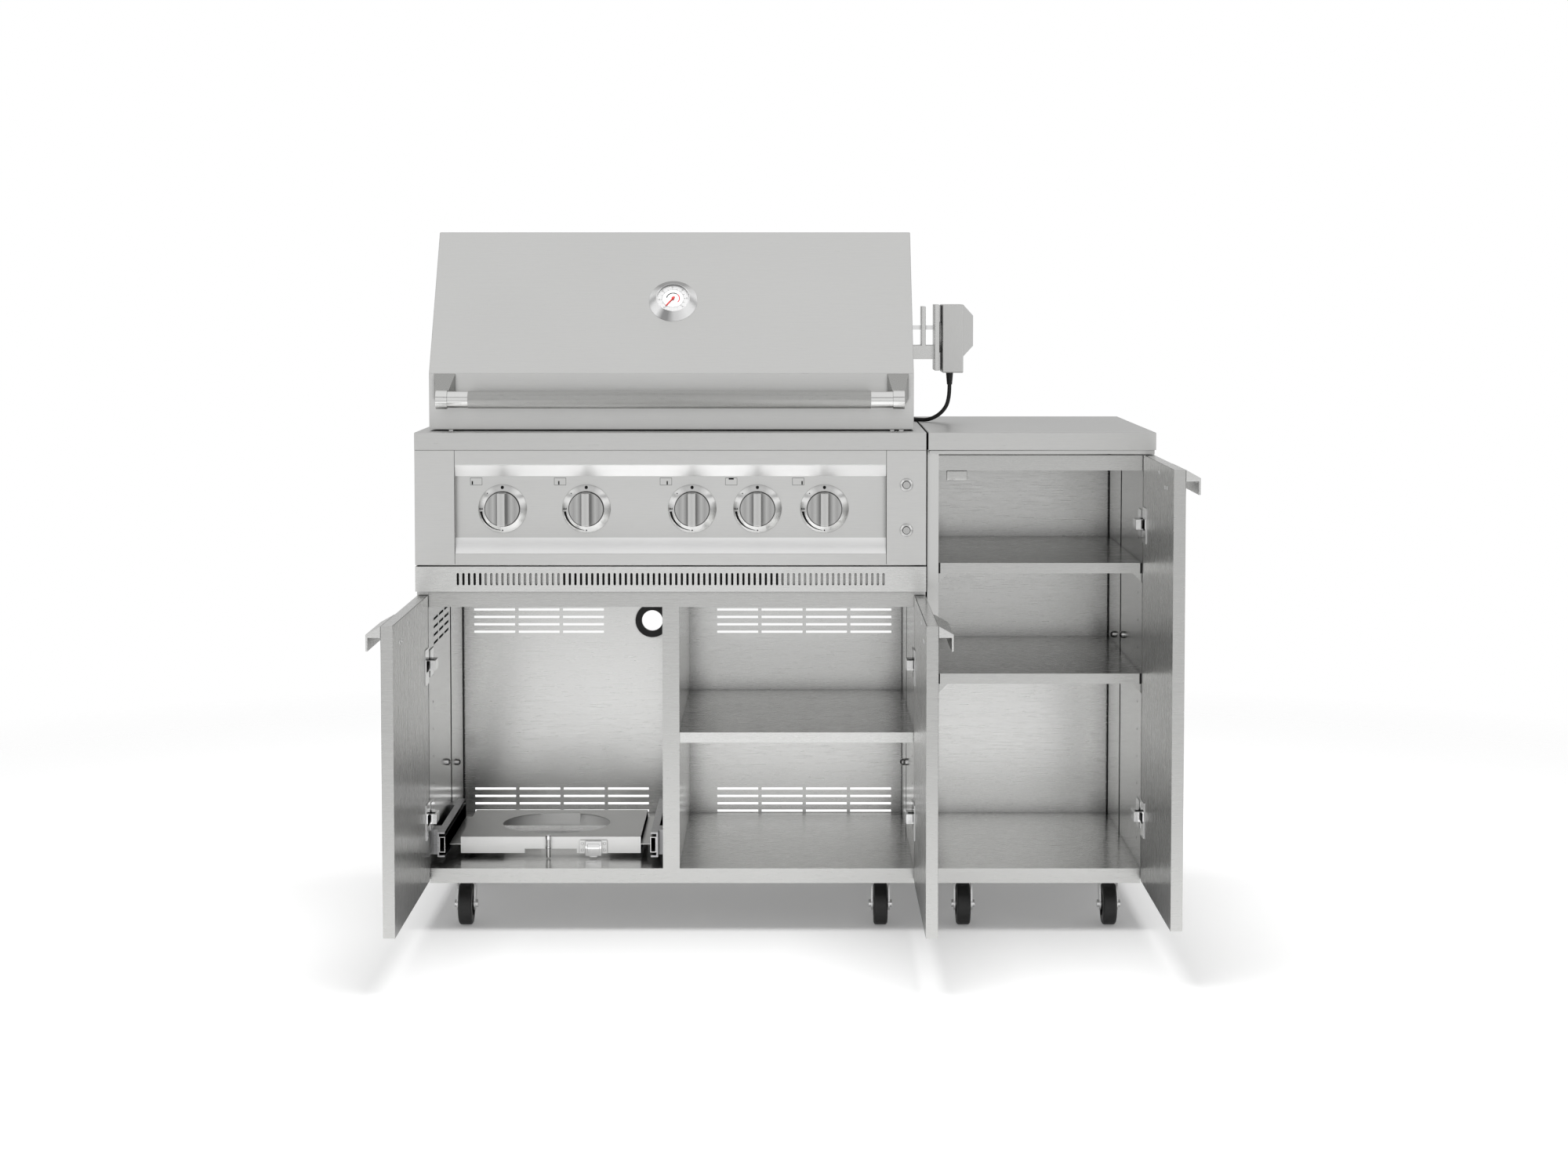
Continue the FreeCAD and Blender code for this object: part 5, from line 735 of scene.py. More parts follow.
def turned(name, profiles, material):
    """Turned pieces: each profile is a middle, outward and up directions, and rings of radius and height."""
    shape = bmesh.new()
    layer = shape.loops.layers.uv.new("turned")
    for middle, out, up, rings in profiles:
        across = up.cross(out)
        rows = []
        for radius, height in rings:
            row = []
            for step in range(TURN_STEPS):
                turn = 2 * pi * step / TURN_STEPS
                arm = across * cos(turn) + up * sin(turn)
                row.append(shape.verts.new(middle + (arm * radius + out * height) * MM))
            rows.append(row)
        for level, (row, after) in enumerate(zip(rows, rows[1:])):
            for step in range(TURN_STEPS):
                ahead = (step + 1) % TURN_STEPS
                face = shape.faces.new((row[step], row[ahead], after[ahead], after[step]))
                sides = ((level, step), (level, step + 1), (level + 1, step + 1), (level + 1, step))
                for loop, (along, around) in zip(face.loops, sides):
                    loop[layer].uv = (along / len(rings), around / TURN_STEPS)
    mesh = bpy.data.meshes.new(name)
    shape.to_mesh(mesh)
    shape.free()
    smooth(mesh)
    mesh.materials.append(material)
    return mesh


# Painted highlights on the bezels: bright and dark sectors round each ring, as stops of turn and grey.
LATHE_PAINTED_GLINTS = (
    (0.0, 0.62), (0.06, 0.97), (0.13, 1.0), (0.19, 0.64), (0.31, 0.64), (0.37, 1.0), (0.44, 0.97),
    (0.49, 0.7), (0.62, 0.88), (0.77, 0.74), (0.9, 0.86), (1.0, 0.62),
)


def turned_metal(name, colour, roughness, strength, painted_glints):
    """Metal with fine lathe lines: its gloss is drawn out across the lines, and bright fans are painted into
    its colour by the angle round the ring, as painted highlights.
    """
    material, tree, shader = new_material(name)
    way = node(tree, "ShaderNodeUVMap", uv_map="turned")
    lines = node(tree, "ShaderNodeMapping", {"Vector": way.outputs["UV"], "Scale": (60.0, 1.5, 1.0)})
    noise = node(tree, "ShaderNodeTexNoise", {"Vector": lines.outputs["Vector"], "Scale": 4.0, "Detail": 2.0})
    dark = [0.9 * part for part in colour] + [1]
    tint = node(tree, "ShaderNodeMix", {0: noise.outputs["Fac"], 6: dark, 7: (*colour, 1)}, data_type="RGBA")
    turn = node(tree, "ShaderNodeSeparateXYZ", {"Vector": way.outputs["UV"]})
    # Painted highlights: the colour goes lighter and darker by the angle round the ring.
    fans = ramp(tree, turn.outputs["Y"], painted_glints)
    fanned = node(tree, "ShaderNodeVectorMath", {0: tint.outputs[2], 1: fans}, operation="MULTIPLY")
    tree.links.new(fanned.outputs[0], shader.inputs["Base Color"])
    tangent = node(tree, "ShaderNodeTangent", direction_type="UV_MAP", uv_map="turned")
    tree.links.new(tangent.outputs["Tangent"], shader.inputs["Tangent"])
    shader.inputs["Anisotropic"].default_value = strength
    shader.inputs["Roughness"].default_value = roughness
    shader.inputs["Metallic"].default_value = 1.0
    return material


BUTTON_X = 214.85
BUTTON_ZS = (807.05, 726.45)
KNOB_RING = ((42.95, 0.05), (42.95, 1.0), (42.5, 1.65), (32.4, 6.5), (32.0, 6.7), (31.6, 6.6), (31.55, 0.3))
BUTTON_RING = ((11.1, 0.05), (11.1, 1.9), (10.5, 2.45), (7.4, 2.45), (6.8, 2.0), (6.5, 0.6))

bezel_metal = turned_metal("turned_bezel_metal", (0.97, 0.97, 0.96), 0.25, 0.75, LATHE_PAINTED_GLINTS)
rings = [(at(x, FACE_Y, KNOB_Z), forwards, Vector((0, 0, 1)), KNOB_RING) for x in KNOB_XS]
rings += [(at(BUTTON_X, PANEL_Y, z), forwards, Vector((0, 0, 1)), BUTTON_RING) for z in BUTTON_ZS]
bezels = turned("turned_bezels", rings, bezel_metal)
bezels = new_piece("turned_bezels", bezels, bezel_metal, "island")
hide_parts("control_bezels")


def on_bezel(knob_x, x, z):
    """A place on a bezel's sloping face, from its middle."""
    depth = BEZEL_EDGE[1] + (BEZEL_EDGE[0] - (x * x + z * z) ** 0.5) * BEZEL_SLOPE
    return at(knob_x + x, FACE_Y - depth, KNOB_Z + z)


def ring_dot(knob_x, angle, size):
    turn = radians(angle)
    middle = (MARK_RADIUS * cos(turn), MARK_RADIUS * sin(turn))
    steps = [2 * pi * step / 14 for step in range(14)]
    return [on_bezel(knob_x, middle[0] + size * cos(step), middle[1] + size * sin(step)) for step in steps]


def heat_arc(knob_x):
    """The tapering band from high to low, as strips of four corners."""
    strips = []
    count = 18
    for step in range(count):
        ends = []
        for share in (step / count, (step + 1) / count):
            turn = radians(187 + 78 * share)
            half = 2.1 - 1.85 * share
            ends.append([(MARK_RADIUS + side * half) for side in (-1, 1)] + [turn])
        (inner, outer, turn), (inner_after, outer_after, turn_after) = ends
        strips.append([
            on_bezel(knob_x, inner * cos(turn), inner * sin(turn)),
            on_bezel(knob_x, outer * cos(turn), outer * sin(turn)),
            on_bezel(knob_x, outer_after * cos(turn_after), outer_after * sin(turn_after)),
            on_bezel(knob_x, inner_after * cos(turn_after), inner_after * sin(turn_after)),
        ])
    return strips


FLAME_TOOTH = ((-1.1, -1.2), (1.1, -1.2), (0.4, 2.6))


def flame(knob_x):
    """Three small teeth beside the high end of the band."""
    teeth = []
    for number in range(3):
        x = -MARK_RADIUS - 2.4 + 2.4 * number
        teeth.append([on_bezel(knob_x, x + across, up) for across, up in FLAME_TOOTH])
    return teeth


def burner_sign(knob_x, number):
    """A thin frame for the grill's face with a bar where this knob's burner is."""
    x, z = knob_x + SIGN_OFFSET[0], KNOB_Z + SIGN_OFFSET[1]
    wide, high = SIGN[0] / 2, SIGN[1] / 2
    outlines = []
    for side in (-1, 1):
        edge_x = x + side * wide
        edge_z = z + side * high
        upright = (edge_x - SIGN_LINE / 2, edge_x + SIGN_LINE / 2)
        outlines.append(rectangle(upright, FACE_Y, (z - high, z + high)))
        inside = (x - wide + SIGN_LINE / 2, x + wide - SIGN_LINE / 2)
        outlines.append(rectangle(inside, FACE_Y, (edge_z - SIGN_LINE / 2, edge_z + SIGN_LINE / 2)))
    tick_x, tick_z, tick_wide, tick_high = SIGN_TICKS[number]
    tick_xs = (x + tick_x - tick_wide / 2, x + tick_x + tick_wide / 2)
    outlines.append(rectangle(tick_xs, FACE_Y, (z + tick_z - tick_high / 2, z + tick_z + tick_high / 2)))
    return outlines


GROOVE_STEPS = 40


def groove(z, inner, outer, height):
    """A thin ring of painted shade round a button, for the shade in its groove, as strips of four corners."""
    strips = []
    for step in range(GROOVE_STEPS):
        turns = [2 * pi * share / GROOVE_STEPS for share in (step, step + 1)]
        corners = ((inner, turns[0]), (outer, turns[0]), (outer, turns[1]), (inner, turns[1]))
        y = PANEL_Y - height
        strips.append([at(BUTTON_X + reach * cos(turn), y, z + reach * sin(turn)) for reach, turn in corners])
    return strips


grooves = []
for z in BUTTON_ZS:
    grooves += groove(z, 6.3, 6.9, 2.4)
new_piece("button_grooves", prisms("button_grooves", grooves, forwards * PRINT * MM), painted_gap_shade, "island")

marks = []
for number, knob_x in enumerate(KNOB_XS):
    marks.append(ring_dot(knob_x, 90, 2.9))
    marks.append(ring_dot(knob_x, 134, 1.0))
    marks.append(ring_dot(knob_x, 270, 1.3))
    marks += heat_arc(knob_x) + flame(knob_x) + burner_sign(knob_x, number)
new_piece("printed_marks", prisms("printed_marks", marks, forwards * PRINT * MM), print_black, "island")

# The knobs and buttons: satin metal knobs with a grip bar across a disc, and two round push buttons.
# The knobs carry painted reflections: dark and light bands beside the grip, kept with each knob as a value
# across it.

KNOB_RADIUS = 30.0
KNOB_PAINTED_BANDS = (
    (0.0, 0.75), (0.13, 0.6), (0.23, 0.78), (0.34, 0.5), (0.37, 0.45), (0.4, 0.95), (0.5, 0.85),
    (0.6, 0.95), (0.63, 0.45), (0.66, 0.5), (0.77, 0.78), (0.87, 0.6), (1.0, 0.75),
)

satin_metal = brushed_steel("satin_knob_metal", (0.56, 0.56, 0.55), 0.2, "z", crease_reach=0.022)
banded_metal = brushed_steel("banded_knob_metal", (0.74, 0.74, 0.73), 0.2, "z", crease_reach=0.012)
tree = banded_metal.node_tree
shader = tree.nodes["Principled BSDF"]
plain = shader.inputs["Base Color"].links[0].from_socket
# Painted reflections: the knob's colour goes lighter and darker in bands across it.
across = node(tree, "ShaderNodeAttribute", attribute_name="across_knob")
bands = ramp(tree, across.outputs["Fac"], KNOB_PAINTED_BANDS)
banded = node(tree, "ShaderNodeVectorMath", {0: plain, 1: bands}, operation="MULTIPLY")
tree.links.new(banded.outputs[0], shader.inputs["Base Color"])
for number, knob_x in enumerate(KNOB_XS):
    knob = folded(f"knob_{number + 1}", [banded_metal], 1.4, wide=2.0).data
    places = knob.attributes.new("across_knob", "FLOAT", "POINT")
    for vertex, place in zip(knob.vertices, places.data):
        place.value = 0.5 + (vertex.co.x - knob_x * MM) / (2 * KNOB_RADIUS * MM)
for name in ("igniter_button", "light_button"):
    folded(name, [satin_metal], 0.9, wide=1.0)

# The doors: hollow panels of two folded sheets with a wedge handle along the top of the free end.
# Each hangs on two cranked hinge arms in plated cups. The inner sheets carry painted shade: their lighter
# steel darkens towards the floor, standing in for the dark reflection of the shaded floor under the island.

DOOR_PAINTED_SHADE = ((0.02, 0.15), (0.16, 0.4), (0.38, 0.92), (0.6, 1.0))

door_steel = brushed_steel("door_brushed_steel", STEEL, 0.26, "z")
inner_steel = brushed_steel("inner_door_brushed_steel", (0.82, 0.82, 0.81), 0.26, "z", darkens=DOOR_PAINTED_SHADE)
for name, inwards in (("left_door", 1), ("right_door", -1), ("side_door", -1)):
    door = folded(name, [door_steel, bright_chrome, shaded_steel, inner_steel], 1.5, small=0.08)
    # Painted shade: the door's end faces take the darker steel, and the inner faces take the lighter inner
    # steel with its painted shade towards the floor.
    for face in door.data.polygons:
        if face.material_index == 0 and abs(face.normal.y) > 0.7:
            face.material_index = 2
        elif face.material_index == 0 and face.normal.x * inwards > 0.7:
            face.material_index = 3
    folded(name + "_handle", [level_steel], 0.8, wide=1.5)
folded("hinge_arms", [bright_chrome], 0.7, wide=1.5)

HANDLE_SCREWS = {
    "left_door": (-636.75, 1, -459.2, 608), "right_door": (230.25, -1, -459.2, 608),
    "side_door": (636.75, -1, -407.7, 859),
}
SCREW_OFFSETS = ((84, 36), (112, 37), (190, 17))
for name, (face_x, inwards, end_y, top) in HANDLE_SCREWS.items():
    facing = Vector((inwards, 0, 0))
    places = [(at(face_x, end_y + offset, top - drop), facing) for offset, drop in SCREW_OFFSETS]
    fasteners(name + "_screws", places, 3.2, 1.6, 12, bright_zinc, name, 0.5)

# The gas bottle tray: a folded sheet pan with a round hole for the bottle's foot, on two telescopic slides.
# A lock plate and a spring pin are fixed to its front lip.

slide_zinc = brushed_steel("slide_zinc", (0.62, 0.62, 0.63), 0.3, "x", crease_reach=0.02)
for name in ("slide_rails", "slide_middles"):
    finish_node(name, slide_zinc)
tray_steel = brushed_steel("tray_brushed_steel", (0.82, 0.82, 0.81), 0.34, "x", spread=0.5)
finish_node("gas_tray", tray_steel)

LOCK_BODY = ((-365, -335), (84, 88.2), (121, 148))
LOCK_FACE = ((-361, -339), (82.5, 84.2), (126, 143))
LOCK_TONGUE = ((-357, -343), (85, 88.2), (117.5, 121.2))
for name, spans in (("body", LOCK_BODY), ("face", LOCK_FACE), ("tongue", LOCK_TONGUE)):
    new_piece(f"tray_lock_{name}", rounded_box(*spans, 0.8), bright_chrome, "gas_tray")
places = [(at(x, 88, z), forwards) for x in (-370.5, -329.5) for z in (131, 143)]
fasteners("tray_lock_screws", places, 2.4, 1.4, 12, bright_zinc, "gas_tray", 0.4)

PIN_PLACE = (-432.25, 87.0)
PIN_KNOB = ((4.02, 150.4), (4.4, 150.4), (4.9, 151.0), (4.9, 157.6), (4.2, 158.3), (0.3, 158.3))
PIN_COLLAR = ((4.02, 134.0), (4.6, 134.4), (4.9, 135.0), (4.9, 138.0), (4.6, 138.6), (4.02, 139.0))
upwards = Vector((0, 0, 1))
collars = [(at(*PIN_PLACE, 0), upwards, forwards, rings) for rings in (PIN_KNOB, PIN_COLLAR)]
new_piece("tray_pin_collars", turned("tray_pin_collars", collars, bright_chrome), bright_chrome, "gas_tray")

# The castors: black wheels on axles in plated sheet forks.
# The front pairs turn on swivel plates, and the rear ones are fixed under the floor panels.

nylon, tree, shader = new_material("black_nylon")
scuff = node(tree, "ShaderNodeTexNoise", {"Scale": 90.0, "Detail": 4.0})
tree.links.new(ramp(tree, scuff.outputs["Fac"], ((0.3, 0.006), (0.7, 0.016))), shader.inputs["Base Color"])
tree.links.new(ramp(tree, scuff.outputs["Fac"], ((0.3, 0.42), (0.7, 0.58))), shader.inputs["Roughness"])
rub = node(tree, "ShaderNodeBump", {"Height": scuff.outputs["Fac"], "Strength": 0.1, "Distance": 0.0005})
tree.links.new(rub.outputs["Normal"], shader.inputs["Normal"])

for number in range(1, 5):
    finish_node(f"caster_wheel_{number}", nylon)
    folded(f"caster_fork_{number}", [bright_zinc], 0.8, wide=1.5)
finish_node("grill_rear_wheels", nylon)
finish_node("side_rear_wheels", nylon)
folded("caster_mounts", [bright_zinc], 0.8, wide=1.5)

# The firebox: a welded sheet tub set into the deck, with burner tubes under folded flame roofs.
# Cast iron grates lie over them, and a drip tray slides in below.

fire_steel = brushed_steel("firebox_steel", (0.46, 0.45, 0.43), 0.42, "x")
for name in ("firebox", "gas_burners", "flame_tamers", "drip_tray"):
    finish_node(name, fire_steel)

cast_iron, tree, shader = new_material("cast_iron")
pits = node(tree, "ShaderNodeTexNoise", {"Scale": 400.0, "Detail": 4.0})
tree.links.new(ramp(tree, pits.outputs["Fac"], ((0.3, 0.02), (0.7, 0.05))), shader.inputs["Base Color"])
pitted = node(tree, "ShaderNodeBump", {"Height": pits.outputs["Fac"], "Strength": 0.4, "Distance": 0.0008})
tree.links.new(pitted.outputs["Normal"], shader.inputs["Normal"])
shader.inputs["Roughness"].default_value = 0.6
shader.inputs["Metallic"].default_value = 0.3
finish_node("cooking_grates", cast_iron)

# The hood: folded and welded sheet, brushed along its length, hinged at the back of the deck.
# Three small feet on the deck stand under its front edge.

hood_steel = brushed_steel("hood_brushed_steel", (0.69, 0.69, 0.68), 0.32, "x")
folded("hood", [hood_steel], 1.8)

FEET_XS = (-597, 191, 207)
feet = [(at(x, 31, 900.05), Vector((0, 0, 1))) for x in FEET_XS]
fasteners("hood_feet", feet, 5.0, 2.9, 16, bright_zinc, "island")

# The hood handle: a metal tube with a knurled middle between two plain ends with caps.
# Two darker tapering brackets carry it off the hood's face.

KNURL_XS = (-561, 152)
BAR_Y = -19
BAR_Z = 958
KNURL_RADIUS = 15.05
KNURL_DEPTH = 0.5
KNURL_PITCH = 2.6
KNURL_TEETH = 36


def knurl_tree():
    """Geometry nodes: a flat grid rolled into a tube whose surface rises in crossed ridges."""
    group = bpy.data.node_groups.new("knurled_tube", "GeometryNodeTree")
    for name in ("Length", "Radius", "Depth", "Pitch", "Teeth"):
        group.interface.new_socket(name, in_out="INPUT", socket_type="NodeSocketFloat")
    group.interface.new_socket("Steps Along", in_out="INPUT", socket_type="NodeSocketInt")
    group.interface.new_socket("Steps Round", in_out="INPUT", socket_type="NodeSocketInt")
    group.interface.new_socket("Finish", in_out="INPUT", socket_type="NodeSocketMaterial")
    group.interface.new_socket("Tube", in_out="OUTPUT", socket_type="NodeSocketGeometry")
    sizes = node(group, "NodeGroupInput").outputs
    flat = node(group, "GeometryNodeMeshGrid", {"Size X": sizes["Length"], "Size Y": 2 * pi})
    group.links.new(sizes["Steps Along"], flat.inputs["Vertices X"])
    group.links.new(sizes["Steps Round"], flat.inputs["Vertices Y"])

    def maths(operation, first, second=0.0):
        return node(group, "ShaderNodeMath", {0: first, 1: second}, operation=operation).outputs[0]

    position = node(group, "GeometryNodeInputPosition").outputs[0]
    place = node(group, "ShaderNodeSeparateXYZ", {"Vector": position})
    along = maths("DIVIDE", place.outputs["X"], sizes["Pitch"])
    around = maths("DIVIDE", maths("MULTIPLY", place.outputs["Y"], sizes["Teeth"]), 2 * pi)
    rising = maths("PINGPONG", maths("ADD", along, around), 0.5)
    falling = maths("PINGPONG", maths("SUBTRACT", along, around), 0.5)
    height = maths("MULTIPLY", maths("ADD", rising, falling), sizes["Depth"])
    reach = maths("ADD", height, sizes["Radius"])
    across = maths("MULTIPLY", reach, maths("COSINE", place.outputs["Y"]))
    up = maths("MULTIPLY", reach, maths("SINE", place.outputs["Y"]))
    rolled = node(group, "ShaderNodeCombineXYZ", {"X": place.outputs["X"], "Y": across, "Z": up})
    tube = node(
        group, "GeometryNodeSetPosition", {"Geometry": flat.outputs["Mesh"], "Position": rolled.outputs[0]}
    )
    closed = node(
        group, "GeometryNodeMergeByDistance", {"Geometry": tube.outputs["Geometry"], "Distance": 0.00005}
    )
    real = node(group, "GeometryNodeRealizeInstances", {"Geometry": closed.outputs["Geometry"]})
    painted = node(
        group, "GeometryNodeSetMaterial", {"Geometry": real.outputs["Geometry"], "Material": sizes["Finish"]}
    )
    node(group, "NodeGroupOutput", {"Tube": painted.outputs["Geometry"]})
    return group


knurl_metal = brushed_steel("knurl_metal", (0.44, 0.44, 0.43), 0.3, "x")
length = (KNURL_XS[1] - KNURL_XS[0]) * MM
sizes = {
    "Length": length, "Radius": KNURL_RADIUS * MM, "Depth": KNURL_DEPTH * MM, "Pitch": KNURL_PITCH * MM,
    "Teeth": float(KNURL_TEETH), "Steps Along": int(length / MM / KNURL_PITCH * 2) + 1,
    "Steps Round": 2 * KNURL_TEETH + 1, "Finish": knurl_metal,
}
knurl = run_tree("handle_knurl", bpy.data.meshes.new("knurl_start"), knurl_tree(), sizes)
knurl.transform(Matrix.Translation(at(sum(KNURL_XS) / 2, BAR_Y, BAR_Z)))
knurl_shape = bmesh.new()
knurl_shape.from_mesh(knurl)
bmesh.ops.recalc_face_normals(knurl_shape, faces=knurl_shape.faces)
knurl_shape.to_mesh(knurl)
knurl_shape.free()
new_piece("handle_knurl", knurl, knurl_metal, "hood")

satin_bar = brushed_steel("satin_bar_metal", (0.78, 0.78, 0.77), 0.12, "x", spread=0.3)
bracket_steel = brushed_steel("bracket_brushed_steel", (0.4, 0.4, 0.39), 0.26, "z")
folded("hood_handle", [bracket_steel, satin_bar], 1.2, small=0.04, wide=2.0)

# The thermometer: a turned metal cone round a printed dial, set into the hood's sloping face.
# A red needle turns on a pin in the middle.

dial_middle = at(-203.25, 114.7, 1131.0)
slant = atan2(254, 176)
dial_up = Vector((0, cos(slant), sin(slant)))
dial_out = Vector((0, -sin(slant), cos(slant)))
DIAL_FACE = 8.5
DIAL_RING = (
    (44.0, 0.0), (43.8, 0.7), (43.0, 1.3), (31.2, 11.4), (30.6, 11.95), (29.8, 11.95), (29.2, 11.5),
    (29.05, DIAL_FACE),
)

# Painted highlights on the thermometer's cone: bright and dark sectors round the ring.
DIAL_PAINTED_GLINTS = (
    (0.0, 1.0), (0.1, 1.0), (0.16, 0.55), (0.36, 0.5), (0.42, 1.0), (0.62, 1.0), (0.67, 0.36), (0.71, 0.36),
    (0.76, 0.8), (0.86, 1.0), (1.0, 1.0),
)

dial_metal = turned_metal("turned_dial_metal", (1.0, 1.0, 1.0), 0.25, 0.4, DIAL_PAINTED_GLINTS)
case = turned("dial_bezel", [(dial_middle, dial_out, dial_up, DIAL_RING)], dial_metal)
case = new_piece("dial_bezel", case, dial_metal, "hood")
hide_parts("thermometer")


def on_dial(radius, angle, lift):
    """A place on the dial from its middle, with the angle anticlockwise from the right."""
    turn = radians(angle)
    across = Vector((1, 0, 0))
    arm = across * radius * cos(turn) + dial_up * radius * sin(turn)
    return dial_middle + (arm + dial_out * (DIAL_FACE + lift)) * MM


def dial_band(inner, outer, start, end, lift, count):
    """A band of the dial as strips of four corners."""
    strips = []
    for step in range(count):
        turns = [start + (end - start) * share / count for share in (step, step + 1)]
        strips.append([
            on_dial(inner, turns[0], lift), on_dial(outer, turns[0], lift),
            on_dial(outer, turns[1], lift), on_dial(inner, turns[1], lift),
        ])
    return strips


def plain_paint(name, dark, light, roughness):
    material, tree, shader = new_material(name)
    grain = node(tree, "ShaderNodeTexNoise", {"Scale": 700.0, "Detail": 2.0})
    tones = {0: grain.outputs["Fac"], 6: (*dark, 1), 7: (*light, 1)}
    tint = node(tree, "ShaderNodeMix", tones, data_type="RGBA")
    tree.links.new(tint.outputs[2], shader.inputs["Base Color"])
    shader.inputs["Roughness"].default_value = roughness
    return material


SCALE_START = 232
SCALE_END = -45
thin = dial_out * 0.08 * MM
dial_grey = plain_paint("dial_grey", (0.62, 0.62, 0.62), (0.66, 0.66, 0.66), 0.4)
dial_white = plain_paint("dial_white", (0.86, 0.86, 0.86), (0.9, 0.9, 0.9), 0.35)
dial_red = plain_paint("dial_red", (0.6, 0.03, 0.05), (0.68, 0.05, 0.06), 0.4)
annulus = prisms("dial_annulus", dial_band(19.5, 29.0, 0, 360, 0.02, 72), thin)
disc = prisms("dial_disc", [[on_dial(19.0, 5 * step, 0.1) for step in range(72)]], thin)
low_arc = prisms("dial_low_arc", dial_band(10.8, 12.6, 172, 52, 0.2, 24), thin)
high_arc = prisms("dial_high_arc", dial_band(10.8, 12.6, 50, -42, 0.2, 18), thin)
new_piece("dial_annulus", annulus, dial_grey, "hood")
new_piece("dial_disc", disc, dial_white, "hood")
new_piece("dial_low_arc", low_arc, print_black, "hood")
new_piece("dial_high_arc", high_arc, dial_red, "hood")
ticks = []
for step in range(13):
    turn = SCALE_START + (SCALE_END - SCALE_START) * step / 12
    ticks += dial_band(20.2, 22.2, turn - 0.8, turn + 0.8, 0.12, 1)
    if step % 2 == 0:
        ticks += dial_band(23.6, 26.4, turn - 2.6, turn - 1.4, 0.12, 1)
        ticks += dial_band(23.6, 26.4, turn + 1.4, turn + 2.6, 0.12, 1)
new_piece("dial_marks", prisms("dial_marks", ticks, thin), print_black, "hood")

needle_red, tree, shader = new_material("needle_red")
coat = node(tree, "ShaderNodeTexNoise", {"Scale": 500.0})
tones = {0: coat.outputs["Fac"], 6: (0.55, 0.03, 0.03, 1), 7: (0.7, 0.05, 0.04, 1)}
blush = node(tree, "ShaderNodeMix", tones, data_type="RGBA")
tree.links.new(blush.outputs[2], shader.inputs["Base Color"])
shader.inputs["Roughness"].default_value = 0.4
finish_node("thermometer_needle", needle_red)

# The rotisserie: a sheet bracket on the deck that carries the spit's end and a boxed motor.
# The motor's cover is brushed metal, with a black gland for the lead.

rubber, tree, shader = new_material("black_rubber")
bloom = node(tree, "ShaderNodeTexNoise", {"Scale": 150.0, "Detail": 3.0})
tree.links.new(ramp(tree, bloom.outputs["Fac"], ((0.3, 0.01), (0.7, 0.022))), shader.inputs["Base Color"])
tree.links.new(ramp(tree, bloom.outputs["Fac"], ((0.3, 0.38), (0.7, 0.5))), shader.inputs["Roughness"])
motor_cover = brushed_steel("motor_cover_metal", (0.66, 0.66, 0.65), 0.33, "z")
folded("motor_bracket", [level_steel], 0.8, wide=1.5)
folded("motor_housing", [motor_cover, rubber], 2.0, small=0.05)
finish_node("spit_rod", bright_chrome)

# Black rubber and plastic: the hose grommet, the switch, the mains lead with its plug, and the lead's tie.
# The lead hangs from the motor, lies over the deck's rear corner and goes down to a coil on the floor.

folded("hose_grommet", [rubber], 1.2, wide=1.5)
folded("motor_switch", [nylon], 0.6, wide=0.8)
plug = folded("cord_plug", [nylon], 1.6, wide=1.5)

CORD_DIAMETER = 7.5
CORD_ROUTE = (
    (311.0, 340.0, 972.0), (311.0, 340.0, 942.0), (297.4, 343.5, 918.0), (274.0, 349.5, 904.0),
    (251.0, 365.5, 904.0), (241.0, 394.0, 904.0), (239.5, 440.0, 904.0), (241.5, 505.0, 904.0),
    (245.0, 556.0, 904.0), (247.0, 592.0, 904.0), (248.0, 618.0, 889.0), (249.0, 633.0, 863.0),
    (250.5, 637.0, 806.0), (253.0, 635.0, 702.0), (255.5, 629.0, 598.0), (257.5, 621.0, 494.0),
    (258.5, 612.0, 391.0), (258.5, 604.5, 289.0), (257.5, 598.5, 190.0), (256.0, 595.2, 118.0),
    (255.0, 594.0, 78.0), (254.5, 594.0, 52.5), (247.0, 594.0, 34.0), (233.0, 594.0, 20.0),
    (214.5, 594.0, 12.0), (194.5, 594.0, 12.0),
)
COIL_X = 187.0
COIL_RADII = (46.5, 42.25, 38.0, 42.25, 46.5)
COIL_DROP = 8.0
COIL_STEPS = 6
COIL_TAIL = 28.0

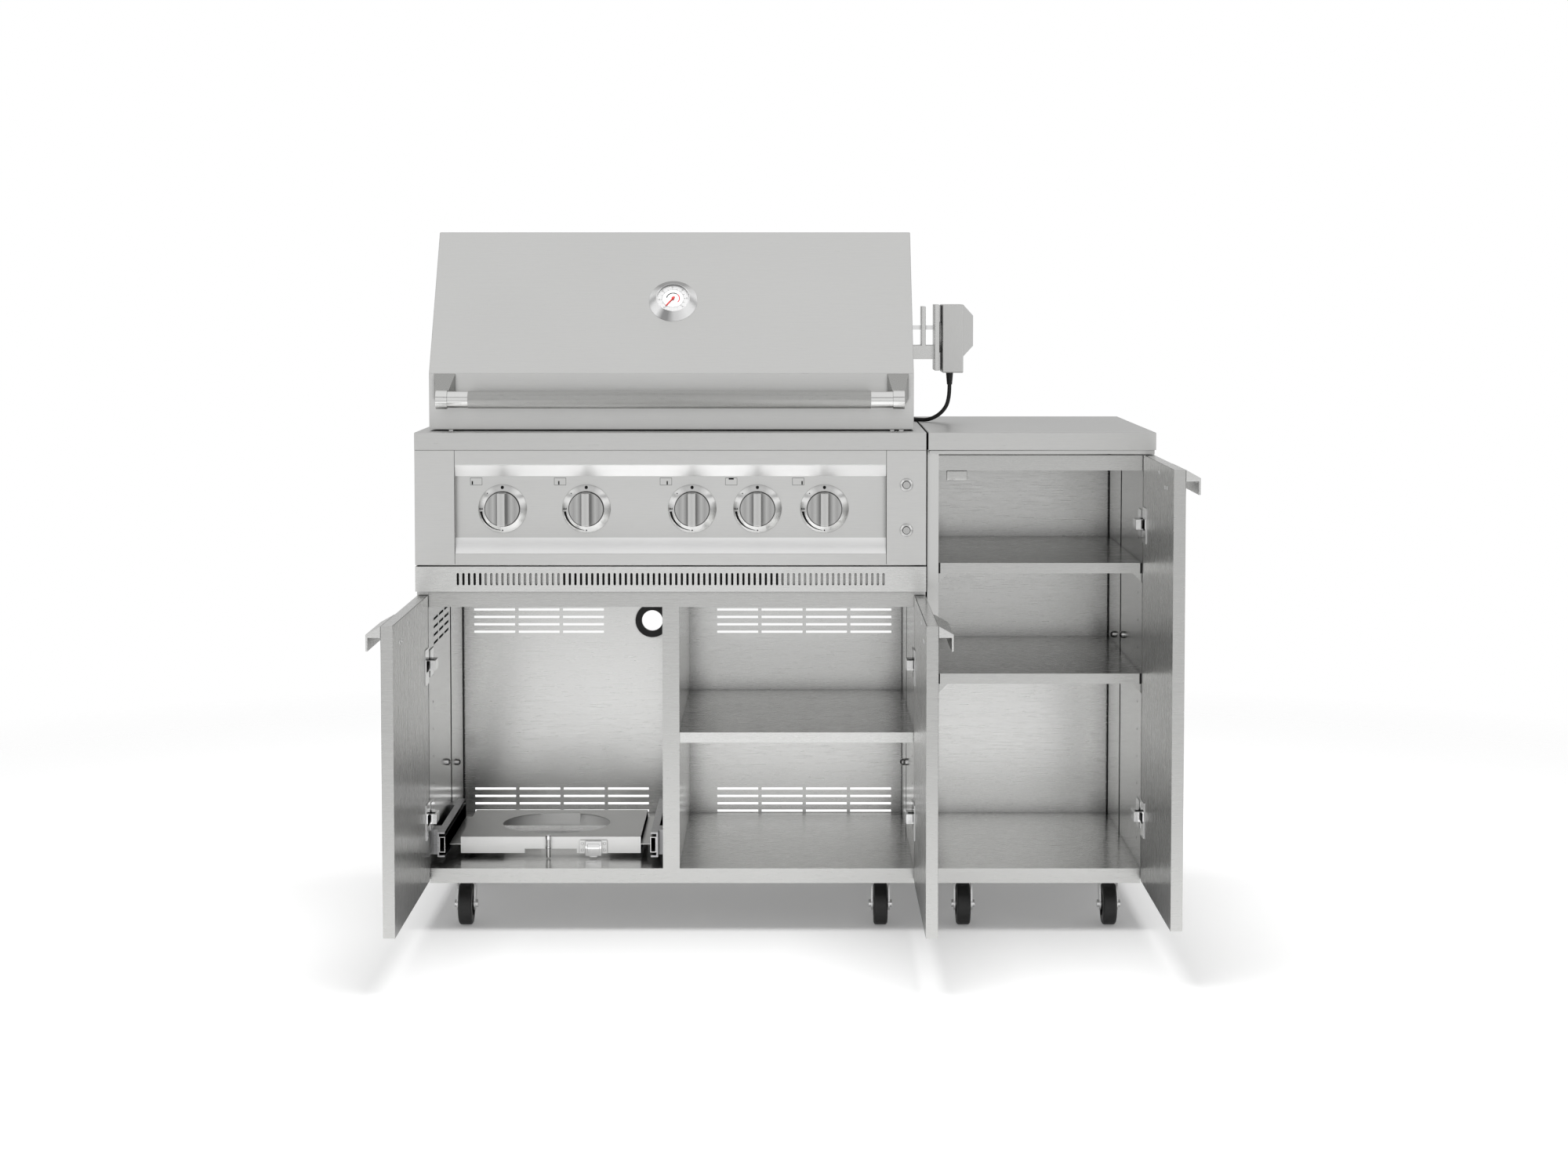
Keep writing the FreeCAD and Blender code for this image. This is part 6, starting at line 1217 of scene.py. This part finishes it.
cord_points = [at(*point) for point in CORD_ROUTE]
y, z = CORD_ROUTE[-1][1:]
side = 1
for index, radius in enumerate(COIL_RADII):
    drop = COIL_DROP if index == len(COIL_RADII) // 2 else 0
    middle = y + side * radius
    wide = radius / cos(pi / COIL_STEPS / 2) ** 2
    for step in range(COIL_STEPS):
        share = (step + 0.5) / COIL_STEPS
        x = COIL_X - side * wide * sin(pi * share)
        cord_points.append(at(x, middle - side * wide * cos(pi * share), z - drop * share))
    y += side * 2 * radius
    z -= drop
    side = -side
cord_points += [at(COIL_X + 4, y, z), at(COIL_X + COIL_TAIL, y, z)]

cord_curve = bpy.data.curves.new("mains_lead", "CURVE")
cord_curve.dimensions = "3D"
spline = cord_curve.splines.new("NURBS")
spline.points.add(len(cord_points) - 1)
for point, place in zip(spline.points, cord_points):
    point.co = (*place, 1)
spline.order_u = 3
spline.use_endpoint_u = True
spline.resolution_u = 8
cord_curve.bevel_depth = CORD_DIAMETER / 2 * MM
cord_curve.bevel_resolution = 4
cord_curve.use_fill_caps = True
cord_curve.materials.append(rubber)
lead = bpy.data.objects.new("mains_lead", cord_curve)
scene.collection.objects.link(lead)
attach(lead, "island")
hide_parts("cord_run", "cord_coil")

TIE_XS = (135.2, 154.4)
TIE_YS = (634, 646)
TIE_TOP = 17.2
TIE_SHEET = 1.2
tie_outline = [
    at(TIE_XS[0], TIE_YS[0], 0.3), at(TIE_XS[0] + TIE_SHEET, TIE_YS[0], 0.3),
    at(TIE_XS[0] + TIE_SHEET, TIE_YS[0], TIE_TOP - TIE_SHEET),
    at(TIE_XS[1] - TIE_SHEET, TIE_YS[0], TIE_TOP - TIE_SHEET),
    at(TIE_XS[1] - TIE_SHEET, TIE_YS[0], 0.3), at(TIE_XS[1], TIE_YS[0], 0.3),
    at(TIE_XS[1], TIE_YS[0], TIE_TOP), at(TIE_XS[0], TIE_YS[0], TIE_TOP),
]
tie_mesh = prisms("lead_tie", [tie_outline], Vector((0, (TIE_YS[1] - TIE_YS[0]) * MM, 0)))
tie = new_piece("lead_tie", tie_mesh, nylon, "island")
